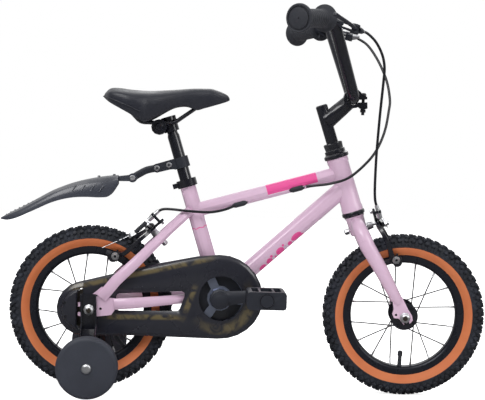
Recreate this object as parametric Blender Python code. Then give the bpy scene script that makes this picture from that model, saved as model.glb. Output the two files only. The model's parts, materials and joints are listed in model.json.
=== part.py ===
"""A twelve-inch kids bike with stabilisers, a chain case, side-pull brakes and a rear mudguard.

Sizes are in millimetres; make() turns them into metres. +X is forward, +Y is the rider's left,
+Z is up. Drawing coordinates start where the rear tyre meets the ground.
"""

import math

import bmesh
import bpy
from mathutils import Matrix, Vector

MM = 0.001
CLEAR = 0.3  # gap between pieces that touch

# Wheels
WHEEL_RADIUS = 150.0
WHEELBASE = 578.9
TYRE_WIDTH = 48.0
TYRE_WALL = 3.5
LUG_HEIGHT = 2.5
LUG_PITCHES = 12
RIM_RADIUS = 111.5
RIM_DEPTH = 14.9
RIM_WIDTH = 26.0
RIM_WALL = 2.0
SPOKE_COUNT = 16
SPOKE_RADIUS = 1.0
FLANGE_RADIUS = 26.0
FLANGE_THICKNESS = 3.5
HUB_RADIUS = 13.0
AXLE_RADIUS = 4.75
FRONT_FLANGE_OFFSET = 30.0
REAR_FLANGE_RIGHT = 24.0
REAR_FLANGE_LEFT = 30.0

# Frame
BB_RISE = 25.0
HEAD_ANGLE = math.radians(18.56)  # from vertical
HEAD_LENGTH = 102.7
HEAD_RADIUS = 20.0
HEAD_BORE = 17.0
FORK_RAKE = 34.3
FORK_LENGTH = 211.1
SEAT_ANGLE = math.radians(17.6)
SEAT_LENGTH = 223.5
SEAT_RADIUS = 14.3
SEAT_BORE_DEPTH = 175.0
TOP_RADIUS = 12.7
TOP_ON_SEAT = 164.7
TOP_ON_HEAD = 75.0
DOWN_RADIUS = 15.9
DOWN_ON_HEAD = 48.2
BB_RADIUS = 20.0
BB_WIDTH = 68.0
BB_BORE = 17.0
DROPOUT_FACE = 52.5  # inner face of a rear dropout from the middle
DROPOUT_THICKNESS = 5.0
STAY_RADIUS = 9.0
BRIDGE_RADIUS = 8.0

# Fork and front end
STEERER_RADIUS = 12.7
STEERER_BORE = 11.45
STEERER_TOP = 130.0
CROWN_RADIUS = 17.0
CROWN_DROP = 35.0
LEG_OFFSET = 46.0
LEG_RADIUS = 14.0
LEG_TIP_RADIUS = 10.5
FORK_PLATE = 4.0
CUP_HEIGHT = 9.0
LOWER_CUP_RADIUS = 21.5
UPPER_CUP_RADIUS = 23.0
CUP_BORE = 13.5
LOCK_NUT_HEIGHT = 20.0
QUILL_RADIUS = 11.1
QUILL_TOP = 205.0
QUILL_BOTTOM = 62.0
CLAMP_X = 59.6
CLAMP_Z = 199.6
CLAMP_RADIUS = 18.0
CLAMP_WIDTH = 38.0
STEER_REST = math.radians(-4.17)
BAR_RADIUS = 11.1
BAR_BORE = BAR_RADIUS + 0.5
BAR_CORNER = Vector((61.0, 115.0, 345.0))
BAR_END = Vector((0.4, 228.6, 356.0))
BAR_FLAT = 37.0
GRIP_LENGTH = 97.0
GRIP_RADIUS = 16.0
GRIP_FLANGE = 25.0
GRIP_FLANGE_WIDTH = 5.0

# Brakes
LEVER_CLAMP_AT = GRIP_LENGTH + 7.0
LEVER_PIVOT = Vector((92.0, 118.0, 316.0))
LEVER_ROOT = Vector((105.0, 112.0, 314.0))
LEVER_TIP = Vector((61.0, 198.0, 347.5))
LEVER_THICKNESS = 7.0
HOUSING_EXIT = Vector((104.0, 88.0, 310.0))
PIVOT_PIN = 2.4
CABLE_RADIUS = 2.5
CABLE_STEP = 15.0
CABLE_END_GAP = 0.8
DUCT_GAP = 0.7
CABLE_SIDE = 20.5
BRAKE_BOLT_RADIUS = 3.0
ARM_THICKNESS = 5.0
ARM_PLANE = 34.0
FRONT_BRAKE_DROP = 34.0
FRONT_PAD_DROP = 73.4
REAR_PAD_DROP = 81.0
PAD_FORWARD = 8.0
PAD_GAP = 2.0
PAD_LENGTH = 38.0
PAD_DEPTH = 7.0
PAD_HEIGHT = 9.0

# Drive
LINK_PITCH = 12.7
CHAIN_LINKS = 60
CHAINRING_TEETH = 28
TOOTH_HEIGHT = 2.0  # tooth tip above the pitch circle
FREEWHEEL_TEETH = 17
CHAIN_LINE = 40.0
CHAIN_WIDTH = 8.6
CHAIN_INNER = 4.0
LINK_HEIGHT = 7.2
PIN_LENGTH = 4.4
RING_THICKNESS = 2.4
SPIDER_ARMS = 3
CRANK_LENGTH = 80.0
CRANK_REST = math.radians(7.6)
CRANK_BOSS = 18.3
CRANK_INNER = 51.0
CRANK_THICKNESS = 15.0
SPINDLE_RADIUS = 7.5
PEDAL_INNER = 84.0
PEDAL_WIDTH = 82.0
PEDAL_LENGTH = 69.0
PEDAL_HEIGHT = 31.0
PEDAL_AXLE_RADIUS = 5.0

# Chain case
CASE_FACE = 47.5
CASE_BACK = 30.5
CASE_WALL = 2.0
CASE_FRONT_RADIUS = 79.0
CASE_REAR_RADIUS = 49.0
CASE_REAR_X = -11.0
CASE_HOLE_RADIUS = 41.0
CASE_SPLIT_X = -17.2
COVER_BULGE = 60.0
WINDOW_CORNER = 6.0
WINDOW_DEPTH = 5.4
BRACKET_WALL = 2.0
BRACKET_WIDTH = 26.0
WINDOW_BEVEL = 9.0

# Seat, mudguard and stabilisers
POST_RADIUS = 11.1
POST_NECK_RADIUS = 9.5
POST_BOTTOM = 120.0
POST_SHOULDER = 312.6
POST_TOP = 338.0
COLLAR_HEIGHT = 14.0
COLLAR_RADIUS = 18.5
CLAMP_ALONG = 330.3
CLAMP_BEHIND = 20.5
SADDLE_CLAMP_RADIUS = 14.3
RAIL_RADIUS = 3.5
RAIL_SPREAD = 22.0
STRAP_AT = 257.0
STRAP_HEIGHT = 20.0
STRAP_RADIUS = 15.0
LINK_PIVOT = Vector((114.3, 0.0, 408.1))
BLADE_PIVOT = Vector((69.9, 0.0, 388.9))
LINK_WIDTH = 12.0
BLADE_WALL = 2.2
STABILISER_RADIUS = 53.6
STABILISER_WIDTH = 28.0
STABILISER_X = 6.6
STABILISER_Y = 175.0
STABILISER_Z = 63.6
BRACKET_THICKNESS = 3.0
BRACKET_WIDTH = 29.2
BRACKET_TOP = 178.5
BRACKET_TOP_X = -2.1
BRACKET_LEAN = 0.05

# Round pieces
SIDES = 12
SMALL_SIDES = 8
FLAT_ANGLE = 1.0  # neighbouring facets closer than this, in degrees, are one face

ORIGIN_X = 279.7  # where the middle of the whole bike lies in drawing coordinates

LOOKS = {
    "frame_paint": ((0.72, 0.53, 0.65), 0.35, 0.0),
    "black_paint": ((0.012, 0.012, 0.014), 0.25, 0.0),
    "black_plastic": ((0.022, 0.023, 0.030), 0.5, 0.0),
    "gloss_plastic": ((0.012, 0.012, 0.014), 0.12, 0.0),
    "black_rubber": ((0.02, 0.02, 0.024), 0.75, 0.0),
    "tyre_rubber": ((0.016, 0.017, 0.021), 0.8, 0.0),
    "saddle_vinyl": ((0.02, 0.021, 0.027), 0.45, 0.0),
    "bright_steel": ((0.6, 0.6, 0.62), 0.28, 1.0),
    "grey_steel": ((0.35, 0.37, 0.42), 0.35, 1.0),
    "chain_steel": ((0.25, 0.24, 0.22), 0.4, 1.0),
    "cable_sleeve": ((0.015, 0.015, 0.018), 0.4, 0.0),
}

HEAD_X = Vector((math.cos(HEAD_ANGLE), 0.0, math.sin(HEAD_ANGLE)))
HEAD_Z = Vector((-math.sin(HEAD_ANGLE), 0.0, math.cos(HEAD_ANGLE)))
SEAT_Z = Vector((-math.sin(SEAT_ANGLE), 0.0, math.cos(SEAT_ANGLE)))
SEAT_BACK = Vector((-math.cos(SEAT_ANGLE), 0.0, -math.sin(SEAT_ANGLE)))
REAR_AXLE = Vector((0.0, 0.0, WHEEL_RADIUS))
FRONT_AXLE = Vector((WHEELBASE, 0.0, WHEEL_RADIUS))
HEAD_BASE = FRONT_AXLE - FORK_RAKE * HEAD_X + FORK_LENGTH * HEAD_Z
Y_AXIS = Vector((0.0, 1.0, 0.0))


def pitch_radius(teeth):
    return LINK_PITCH / 2 / math.sin(math.pi / teeth)


def wrap_links(centres):
    """Links of chain round both sprockets at this distance between their centres."""
    lean = math.asin((pitch_radius(CHAINRING_TEETH) - pitch_radius(FREEWHEEL_TEETH)) / centres)
    front = CHAINRING_TEETH * (0.5 + lean / math.pi)
    rear = FREEWHEEL_TEETH * (0.5 - lean / math.pi)
    straight = centres * math.cos(lean) / LINK_PITCH
    return front, straight, rear, lean


def chain_centres():
    """The distance between bottom bracket and rear axle that takes the whole chain."""
    centres = LINK_PITCH * CHAIN_LINKS / 3
    for _ in range(30):
        front, straight, rear, _lean = wrap_links(centres)
        centres += (CHAIN_LINKS - front - 2 * straight - rear) * LINK_PITCH / 2
    return centres


CENTRES = chain_centres()
BOTTOM_BRACKET = Vector((math.sqrt(CENTRES**2 - BB_RISE**2), 0.0, WHEEL_RADIUS + BB_RISE))


def on_seat(along, behind=0.0):
    return BOTTOM_BRACKET + along * SEAT_Z + behind * SEAT_BACK


def on_head(along):
    return HEAD_BASE + along * HEAD_Z


# Helpers that build closed solids

def rings_solid(rings, closed=False):
    """A solid through matching rings of points; closed joins the last ring to the first."""
    solid = bmesh.new()
    loops = [[solid.verts.new(point) for point in ring] for ring in rings]
    pairs = list(zip(loops, loops[1:]))
    if closed:
        pairs.append((loops[-1], loops[0]))
    for lower, upper in pairs:
        for index, vertex in enumerate(lower):
            after = (index + 1) % len(lower)
            solid.faces.new((vertex, lower[after], upper[after], upper[index]))
    if not closed:
        solid.faces.new(loops[0])
        solid.faces.new(loops[-1])
    bmesh.ops.remove_doubles(solid, verts=solid.verts, dist=0.0005)
    bmesh.ops.recalc_face_normals(solid, faces=solid.faces)
    return solid


def hexagon(radius, angle):
    """Distance from the middle to the edge of a hexagon with this corner radius."""
    sector = math.pi / 3
    return radius * math.cos(sector / 2) / math.cos((angle % sector) - sector / 2)


def axis_matrix(start, direction, up=None):
    """A frame whose Y axis runs along direction, with its origin at start."""
    along = Vector(direction).normalized()
    guide = Vector(up) if up is not None else Vector((0.0, 0.0, 1.0))
    if abs(along.dot(guide)) > 0.99:
        guide = Vector((1.0, 0.0, 0.0))
    side = along.cross(guide).normalized()
    top = side.cross(along)
    matrix = Matrix((side, along, top)).transposed().to_4x4()
    matrix.translation = start
    return matrix


def turned(profile, sides=SIDES, closed=False, start=None, direction=Y_AXIS, up=None):
    """A turned solid; each step of the profile is (along, radius) or (along, radius, "hex")."""
    matrix = axis_matrix(start if start is not None else Vector(), direction, up)
    rings = []
    for step in profile:
        ring = []
        for index in range(sides):
            angle = 2 * math.pi * index / sides
            radius = hexagon(step[1], angle) if len(step) == 3 else step[1]
            ring.append(matrix @ Vector((radius * math.cos(angle), step[0], radius * math.sin(angle))))
        rings.append(ring)
    return rings_solid(rings, closed)


def rod(start, end, radius, sides=SIDES):
    length = (end - start).length
    return turned([(0.0, radius), (length, radius)], sides, start=start, direction=end - start)


def sweep(points, sizes, sides=SIDES, up=(0.0, 0.0, 1.0)):
    """A tube through points; each size is a radius or (across, upward) half sizes."""
    points = [Vector(point) for point in points]
    if not isinstance(sizes, (list, tuple)):
        sizes = [sizes] * len(points)
    rings = []
    top = Vector(up)
    for index, point in enumerate(points):
        before = (point - points[index - 1]).normalized() if index else None
        after = (points[index + 1] - point).normalized() if index < len(points) - 1 else None
        along = ((before or after) + (after or before)).normalized()
        side = along.cross(top).normalized()
        top = side.cross(along).normalized()
        across, upward = sizes[index] if isinstance(sizes[index], tuple) else (sizes[index],) * 2
        ring = []
        for step in range(sides):
            angle = 2 * math.pi * (step + 0.5) / sides
            ring.append(point + side * across * math.cos(angle) + top * upward * math.sin(angle))
        rings.append(ring)
    return rings_solid(rings)


def prism(outline, low, high, plane="XZ"):
    """An outline in a plane, extruded between two places on the plane's normal."""
    def place(pair, level):
        a, b = pair
        if plane == "XZ":
            return Vector((a, level, b))
        if plane == "YZ":
            return Vector((level, a, b))
        return Vector((a, b, level))
    return rings_solid([[place(pair, low) for pair in outline], [place(pair, high) for pair in outline]])


def arc(centre, radius, start, end, steps):
    """Points on an arc between two angles in degrees."""
    points = []
    for index in range(steps + 1):
        angle = math.radians(start + (end - start) * index / steps)
        points.append((centre[0] + radius * math.cos(angle), centre[1] + radius * math.sin(angle)))
    return points


def rounded(corners, radius, steps=4):
    """A closed outline with each corner rounded."""
    outline = []
    count = len(corners)
    for index in range(count):
        corner = Vector(corners[index])
        before = (Vector(corners[index - 1]) - corner)
        after = (Vector(corners[(index + 1) % count]) - corner)
        outline += [tuple(point) for point in bend(corner, before, after, radius, steps)]
    return outline


def bend(corner, before, after, radius, steps):
    """Points on the arc that rounds one corner."""
    one, two = before.normalized(), after.normalized()
    half = one.angle(two) / 2
    reach = min(radius / math.tan(half), before.length * 0.49, after.length * 0.49)
    real = reach * math.tan(half)
    middle = corner + (one + two).normalized() * (real / math.sin(half))
    start = corner + one * reach - middle
    end = corner + two * reach - middle
    whole = start.angle(end)
    points = []
    for step in range(steps + 1):
        part = step / steps
        weight = math.sin(whole)
        points.append(middle + start * (math.sin((1 - part) * whole) / weight)
                      + end * (math.sin(part * whole) / weight))
    return points


def bent_path(points, radii, steps=4):
    """An open path with its inner corners rounded."""
    points = [Vector(point) for point in points]
    path = [points[0]]
    for index in range(1, len(points) - 1):
        corner = points[index]
        path += bend(corner, points[index - 1] - corner, points[index + 1] - corner,
                     radii[index - 1], steps)
    return path + [points[-1]]


def inset(outline, distance):
    """An outline moved inward by one distance on every side; outlines run anticlockwise."""
    result = []
    count = len(outline)
    for index in range(count):
        here = Vector(outline[index])
        before = (here - Vector(outline[index - 1])).normalized()
        after = (Vector(outline[(index + 1) % count]) - here).normalized()
        normal = Vector((-(before + after).y, (before + after).x)).normalized()
        scale = max(0.4, math.sqrt(max(0.0, (1 + before.dot(after)) / 2)))
        result.append(tuple(here + normal * (distance / scale)))
    return result


def ball(centre, radius, sides=SMALL_SIDES):
    steps = sides // 2
    profile = [(-radius * math.cos(math.pi * n / steps), radius * math.sin(math.pi * n / steps))
               for n in range(steps + 1)]
    return turned(profile, sides, start=centre)


def block(low, high):
    """A box between two corners."""
    return prism([(low[0], low[1]), (high[0], low[1]), (high[0], high[1]), (low[0], high[1])],
                 low[2], high[2], "XY")


def boolean(pieces, operation, solver):
    modifier = pieces[0].modifiers.new("boolean", "BOOLEAN")
    modifier.object = pieces[1]
    modifier.operation = operation
    modifier.solver = solver
    result = bmesh.new()
    result.from_object(pieces[0], bpy.context.evaluated_depsgraph_get())
    pieces[0].modifiers.remove(modifier)
    bmesh.ops.remove_doubles(result, verts=result.verts, dist=0.002)
    return result


def connected(solid):
    """Whether a way leads over shared edges from one face to every other."""
    faces = list(solid.faces)
    reached = {faces[0]}
    waiting = [faces[0]]
    while waiting:
        for edge in waiting.pop().edges:
            for face in edge.link_faces:
                if face not in reached:
                    reached.add(face)
                    waiting.append(face)
    return len(reached) == len(faces)


def sound(result, base, tool, operation):
    """Whether a Boolean left one closed surface with a volume that the two solids allow."""
    if not result.faces or not all(edge.is_manifold for edge in result.edges):
        return False
    volume = result.calc_volume(signed=True)
    slack = 0.001 * (base + tool) + 1.0
    if operation == "UNION":
        return connected(result) and max(base, tool) - slack < volume < base + tool + slack
    return base - tool - slack < volume < base + slack


def combined(base, tool, operation):
    """The Boolean of two solids, which are used up; MANIFOLD stands in where EXACT fails."""
    pieces = []
    volumes = []
    for solid in (base, tool):
        volumes.append(solid.calc_volume(signed=True))
        mesh = bpy.data.meshes.new("work")
        solid.to_mesh(mesh)
        solid.free()
        piece = bpy.data.objects.new("work", mesh)
        bpy.context.scene.collection.objects.link(piece)
        pieces.append(piece)
    result = boolean(pieces, operation, "EXACT")
    other = boolean(pieces, operation, "MANIFOLD")
    if sound(other, *volumes, operation):
        difference = abs(result.calc_volume(signed=True) - other.calc_volume(signed=True))
        if difference > 1.0 or not sound(result, *volumes, operation):
            result, other = other, result
    other.free()
    for piece in pieces:
        mesh = piece.data
        bpy.data.objects.remove(piece)
        bpy.data.meshes.remove(mesh)
    return result


def join(base, *tools):
    for tool in tools:
        base = combined(base, tool, "UNION")
    return base


def cut(base, *tools):
    for tool in tools:
        base = combined(base, tool, "DIFFERENCE")
    return base


def moved(solid, matrix):
    solid.transform(matrix)
    if matrix.determinant() < 0:
        bmesh.ops.reverse_faces(solid, faces=solid.faces)
    return solid


def mirrored(solid):
    return moved(solid, Matrix.Scale(-1.0, 4, Y_AXIS))


def sided(solid, side):
    """A solid drawn for the left side, or its mirror image for the right."""
    return solid if side > 0 else mirrored(solid)


def material(look):
    found = bpy.data.materials.get(look)
    if found:
        return found
    colour, roughness, metallic = LOOKS[look]
    made = bpy.data.materials.new(look)
    made.use_nodes = True
    shader = made.node_tree.nodes["Principled BSDF"]
    shader.inputs["Base Color"].default_value = (*colour, 1.0)
    shader.inputs["Roughness"].default_value = roughness
    shader.inputs["Metallic"].default_value = metallic
    return made


def make(name, solid, look, parent, crease=35.0):
    """An object from a solid in millimetres, in its parent's frame."""
    mesh = bpy.data.meshes.new(name)
    bmesh.ops.dissolve_limit(solid, angle_limit=math.radians(FLAT_ANGLE), verts=solid.verts,
                             edges=solid.edges)
    solid.transform(Matrix.Scale(MM, 4))
    solid.to_mesh(mesh)
    solid.free()
    mesh.shade_smooth()
    mesh.set_sharp_from_angle(angle=math.radians(crease))
    mesh.materials.append(material(look))
    made = bpy.data.objects.new(name, mesh)
    bpy.context.scene.collection.objects.link(made)
    made.parent = parent
    return made


def empty(name, matrix, parent=None):
    """An axis or a reference point; its matrix is in millimetres, in its parent's frame."""
    made = bpy.data.objects.new(name, None)
    bpy.context.scene.collection.objects.link(made)
    made.empty_display_size = 0.03
    made.parent = parent
    matrix = matrix.copy()
    matrix.translation = matrix.translation * MM
    made.matrix_local = matrix
    return made


def at(point):
    return Matrix.Translation(point)


# Frame

def stay_points(side):
    seat = [(22.0, 57.0, 172.0), (47.1, 58.0, 203.8), (80.0, 57.0, 236.0),
            (110.0, 44.0, 266.0), (140.0, 29.0, 296.0)]
    top = on_seat(TOP_ON_SEAT + 2.0, SEAT_RADIUS * 0.6)
    seat.append((top.x, 10.0, top.z))
    chain = [(44.0, 56.0, 161.0), (80.0, 50.0, 163.0), (172.0, 26.0, 170.6),
             (BOTTOM_BRACKET.x - 12.0, 17.0, BOTTOM_BRACKET.z - 1.0)]
    flip = lambda points: [Vector((x, y * side, z)) for x, y, z in points]
    return flip(seat), flip(chain)


def dropout_outline():
    """The plate that holds the rear axle, with a slot open to the rear."""
    middle = REAR_AXLE.z
    slot = AXLE_RADIUS + CLEAR
    jaw = arc((0.0, middle), slot, -90.0, 90.0, 4)
    return ([(-20.0, middle - slot)] + jaw + [(-20.0, middle + slot), (-20.0, middle + 12.5),
            (-8.0, middle + 15.0), (6.0, 178.5), (22.0, 192.0), (34.0, 184.0), (30.5, 172.5),
            (46.0, 171.5), (46.0, 150.0), (40.0, 141.0), (14.5, 138.0), (-8.0, middle - 14.0),
            (-20.0, middle - 11.5)])


def dropout(side):
    face = DROPOUT_FACE * side
    plate = prism(dropout_outline(), face, face + DROPOUT_THICKNESS * side)
    hole = rod(Vector((13.0, face - 5 * side, 175.5)), Vector((13.0, face + 15 * side, 175.5)), 1.8, 6)
    eyelet = rod(Vector((20.5, face - 5 * side, 152.0)), Vector((20.5, face + 15 * side, 152.0)), 2.6, 6)
    return cut(plate, hole, eyelet)


def bridge_place():
    """The seatstay bridge that the rear brake hangs on."""
    stay = stay_points(1)[0]
    part = 0.45
    return stay[3].lerp(stay[4], part)


def rear_brake_axis():
    stay = stay_points(1)[0]
    along = stay[4] - stay[3]
    along.y = 0.0
    along.normalize()
    return Vector((-along.z, 0.0, along.x))


def cable_route_rear():
    """The rear brake cable behind the head tube, on the rider's right."""
    return [(465.2, -27.0, 400.6), (433.7, -25.0, 389.7), (404.9, -18.0, 384.9), (372.8, -9.0, 379.0),
            (340.0, -3.0, 371.0), (305.0, -3.0, 361.0), (268.0, -9.5, 347.0), (242.5, -17.0, 336.5),
            (221.6, -23.0, 331.4), (205.0, -26.0, 330.6), (189.6, -27.5, 330.8), (165.1, -27.5, 331.6),
            (148.0, -25.5, 332.6)]


def cable_duct():
    """The hole for the cable through the top tube, seat tube and both grommets."""
    route = smooth_route(cable_route_rear(), CABLE_STEP)
    inside = [point for point in route if 205.0 < point.x < 412.0]
    return sweep(inside, CABLE_RADIUS + DUCT_GAP, 6)


def build_frame(root):
    head_low, head_high = on_head(0.0), on_head(HEAD_LENGTH)
    frame = rod(BOTTOM_BRACKET, on_seat(SEAT_LENGTH), SEAT_RADIUS)
    shell_end = Vector((0.0, BB_WIDTH / 2, 0.0))
    frame = join(
        frame,
        rod(BOTTOM_BRACKET - shell_end, BOTTOM_BRACKET + shell_end, BB_RADIUS),
        rod(BOTTOM_BRACKET + (on_head(DOWN_ON_HEAD) - BOTTOM_BRACKET).normalized() * 4.0,
            on_head(DOWN_ON_HEAD), DOWN_RADIUS),
        rod(on_seat(TOP_ON_SEAT), on_head(TOP_ON_HEAD), TOP_RADIUS),
        turned([(0.0, HEAD_RADIUS), (8.0, HEAD_RADIUS), (10.0, HEAD_RADIUS - 1.0),
                (HEAD_LENGTH - 10.0, HEAD_RADIUS - 1.0), (HEAD_LENGTH - 8.0, HEAD_RADIUS),
                (HEAD_LENGTH, HEAD_RADIUS)], 16, start=head_low, direction=HEAD_Z),
    )
    for side in (-1, 1):
        seat, chain = stay_points(side)
        widths = [(7.0, 11.0), (7.5, 11.0), (8.0, 10.5), (8.5, 9.5), STAY_RADIUS, STAY_RADIUS]
        frame = join(frame,
                     sweep(seat, widths, 8),
                     sweep(chain, [(7.0, 11.0), (7.5, 10.5), STAY_RADIUS - 0.5, STAY_RADIUS], 8),
                     dropout(side))
    bridge = bridge_place()
    across = Vector((0.0, bridge.y, 0.0))
    bolt = rear_brake_axis()
    middle = Vector((bridge.x, 0.0, bridge.z))
    bolt_hole = rod(middle - bolt * 30.0, middle + bolt * 30.0, BRAKE_BOLT_RADIUS + CLEAR, SMALL_SIDES)
    frame = join(frame, cut(rod(middle - across, middle + across, BRIDGE_RADIUS, 8), bolt_hole))
    low_bridge = Vector((184.0, 0.0, 171.5))
    across = Vector((0.0, 21.0, 0.0))
    frame = join(frame, rod(low_bridge - across, low_bridge + across, 7.0, 8))
    duct = cable_duct()
    seat_bore = rod(on_seat(SEAT_LENGTH - SEAT_BORE_DEPTH), on_seat(SEAT_LENGTH + 5.0),
                    POST_RADIUS + CLEAR)
    head_bore = rod(head_low - HEAD_Z * 5.0, head_high + HEAD_Z * 5.0, HEAD_BORE, 16)
    shell_bore = rod(BOTTOM_BRACKET - shell_end * 1.2, BOTTOM_BRACKET + shell_end * 1.2, BB_BORE)
    frame = cut(frame, seat_bore, head_bore, shell_bore, duct)
    make("frame", frame, "frame_paint", root)


def build_grommets(root):
    """Two rubber ports where the cable enters and leaves the top tube."""
    route = [Vector(point) for point in cable_route_rear()]
    tube_along = (on_head(TOP_ON_HEAD) - on_seat(TOP_ON_SEAT)).normalized()
    tube_start = on_seat(TOP_ON_SEAT)
    for name, centre in (("cable_grommet_front", route[3]), ("cable_grommet_rear", route[6])):
        foot = tube_start + tube_along * (centre - tube_start).dot(tube_along)
        out = (centre - foot).normalized()
        middle = foot + out * (TOP_RADIUS + 0.6)
        matrix = axis_matrix(middle, tube_along, out)
        steps = [(-15.0, 0.5), (-13.0, 3.4), (-8.0, 5.2), (8.0, 5.2), (13.0, 3.4), (15.0, 0.5)]
        pill = turned([(along, radius) for along, radius in steps], SMALL_SIDES)
        pill = moved(pill, matrix)
        tube = rod(tube_start, on_head(TOP_ON_HEAD), TOP_RADIUS + CLEAR)
        duct = cable_duct()
        make(name, cut(pill, tube, duct), "black_rubber", root)


def build_headset(root, steering):
    for name, top, radius in (("headset_bottom_cup", 0.0, LOWER_CUP_RADIUS),
                              ("headset_top_cup", HEAD_LENGTH, UPPER_CUP_RADIUS)):
        outward = -1.0 if name == "headset_bottom_cup" else 1.0
        base = on_head(top) + HEAD_Z * outward * CLEAR
        profile = [(-8.0, CUP_BORE), (-8.0, HEAD_BORE - CLEAR), (0.0, HEAD_BORE - CLEAR), (0.0, radius - 1.0),
                   (1.5, radius), (CUP_HEIGHT - 3.0, radius), (CUP_HEIGHT, radius - 3.0),
                   (CUP_HEIGHT, CUP_BORE)]
        make(name, turned(profile, 16, True, base, HEAD_Z * outward, Y_AXIS), "black_paint", root)
    start = HEAD_LENGTH + CUP_HEIGHT + 2 * CLEAR
    bore = STEERER_RADIUS + CLEAR
    height = LOCK_NUT_HEIGHT
    profile = [(0.0, bore), (0.0, 19.0), (6.0, 19.0), (7.0, 16.8, "hex"),
               (height - 2.0, 17.8, "hex"), (height, 16.0), (height, bore)]
    make("headset_lock_nut",
         turned(profile, SIDES, True, Vector((0.0, 0.0, start)), Vector((0.0, 0.0, 1.0)), Y_AXIS),
         "black_paint", steering)


def build_bottom_bracket(root):
    half = BB_WIDTH / 2
    bore = SPINDLE_RADIUS + 0.8
    outer = BB_BORE - CLEAR
    profile = [(-half - 2.5, bore), (-half - 2.5, 18.5), (-half - CLEAR, 18.5), (-half - CLEAR, outer),
               (half + CLEAR, outer), (half + CLEAR, 18.5), (half + 2.5, 18.5), (half + 2.5, bore)]
    make("bottom_bracket", turned(profile, SIDES, True, BOTTOM_BRACKET), "grey_steel", root)


# Fork and handlebar

def build_fork(steering):
    top = -CUP_HEIGHT - 2 * CLEAR
    up = Vector((0.0, 0.0, 1.0))
    crown = turned([(-CROWN_DROP, 14.5), (-CROWN_DROP + 3.0, CROWN_RADIUS - 1.0), (-4.0, CROWN_RADIUS),
                    (0.0, CROWN_RADIUS + 2.0), (0.0, STEERER_RADIUS), (STEERER_TOP - top, STEERER_RADIUS)],
                   SIDES, start=Vector((0.0, 0.0, top)), direction=up, up=Y_AXIS)
    fork = crown
    axle = Vector((FORK_RAKE, 0.0, -FORK_LENGTH))
    for side in (-1, 1):
        leg = [(0.0, 9.0, top - 12.0), (1.0, 22.0, top - 16.0), (2.0, 34.0, top - 25.0),
               (4.0, 42.5, top - 38.0), (6.0, LEG_OFFSET, top - 56.0), (18.0, LEG_OFFSET, -116.0),
               (29.0, LEG_OFFSET, -172.0), (31.0, LEG_OFFSET, -184.0)]
        sizes = [11.0, 12.5, 13.5, LEG_RADIUS, LEG_RADIUS, LEG_RADIUS - 1.2, LEG_TIP_RADIUS,
                 LEG_TIP_RADIUS - 5.0]
        leg = [(x, y * side, z) for x, y, z in leg]
        slot = AXLE_RADIUS + CLEAR
        outline = ([(22.0, -172.0), (19.0, -190.0), (14.0, -198.0), (15.0, -206.0), (23.0, -209.0)]
                   + [(axle.x - slot, axle.z - 13.0)]
                   + arc((axle.x, axle.z), slot, 180.0, 0.0, 4)
                   + [(axle.x + slot, axle.z - 13.0), (axle.x + 12.0, axle.z - 9.0),
                      (axle.x + 13.5, axle.z), (axle.x + 10.0, axle.z + 13.0), (40.0, -172.0)])
        inner = (LEG_OFFSET - 1.0) * side
        plate = prism(outline, inner, inner + FORK_PLATE * side)
        eyelet = rod(Vector((20.2, inner - 4 * side, -201.3)), Vector((20.2, inner + 9 * side, -201.3)),
                     2.6, 6)
        fork = join(fork, sweep(leg, sizes, 10, (1.0, 0.0, 0.0)), cut(plate, eyelet))
    bore = rod(Vector((0.0, 0.0, QUILL_BOTTOM - 32.0)), Vector((0.0, 0.0, STEERER_TOP + 5.0)),
               STEERER_BORE)
    level = -FRONT_BRAKE_DROP
    bolt = rod(Vector((-40.0, 0.0, level)), Vector((40.0, 0.0, level)), BRAKE_BOLT_RADIUS + CLEAR,
               SMALL_SIDES)
    make("fork", cut(fork, bore, bolt), "frame_paint", steering)


def axle_profile(inner, face, outer, gap, nut):
    """Half of an axle from the middle outward: lock nut inside the dropout and nut outside it."""
    return [(inner, AXLE_RADIUS), (inner, 8.5), (face - CLEAR, 8.5), (face - CLEAR, AXLE_RADIUS),
            (gap, AXLE_RADIUS), (gap, 10.0), (gap + 2.0, 10.0), (gap + 2.5, 8.6, "hex"),
            (gap + nut, 8.6, "hex"), (gap + nut + 1.0, AXLE_RADIUS), (outer, AXLE_RADIUS - 0.5)]


def build_axle(name, parent, centre, inner_right, inner_left, face, gap, outer):
    right = [(-step[0], *step[1:]) for step in axle_profile(inner_right, face, outer, gap, 9.0)]
    left = axle_profile(inner_left, face, outer, gap, 9.0)
    profile = list(reversed(right)) + left
    make(name, turned(profile, SMALL_SIDES, start=centre), "bright_steel", parent)


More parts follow.
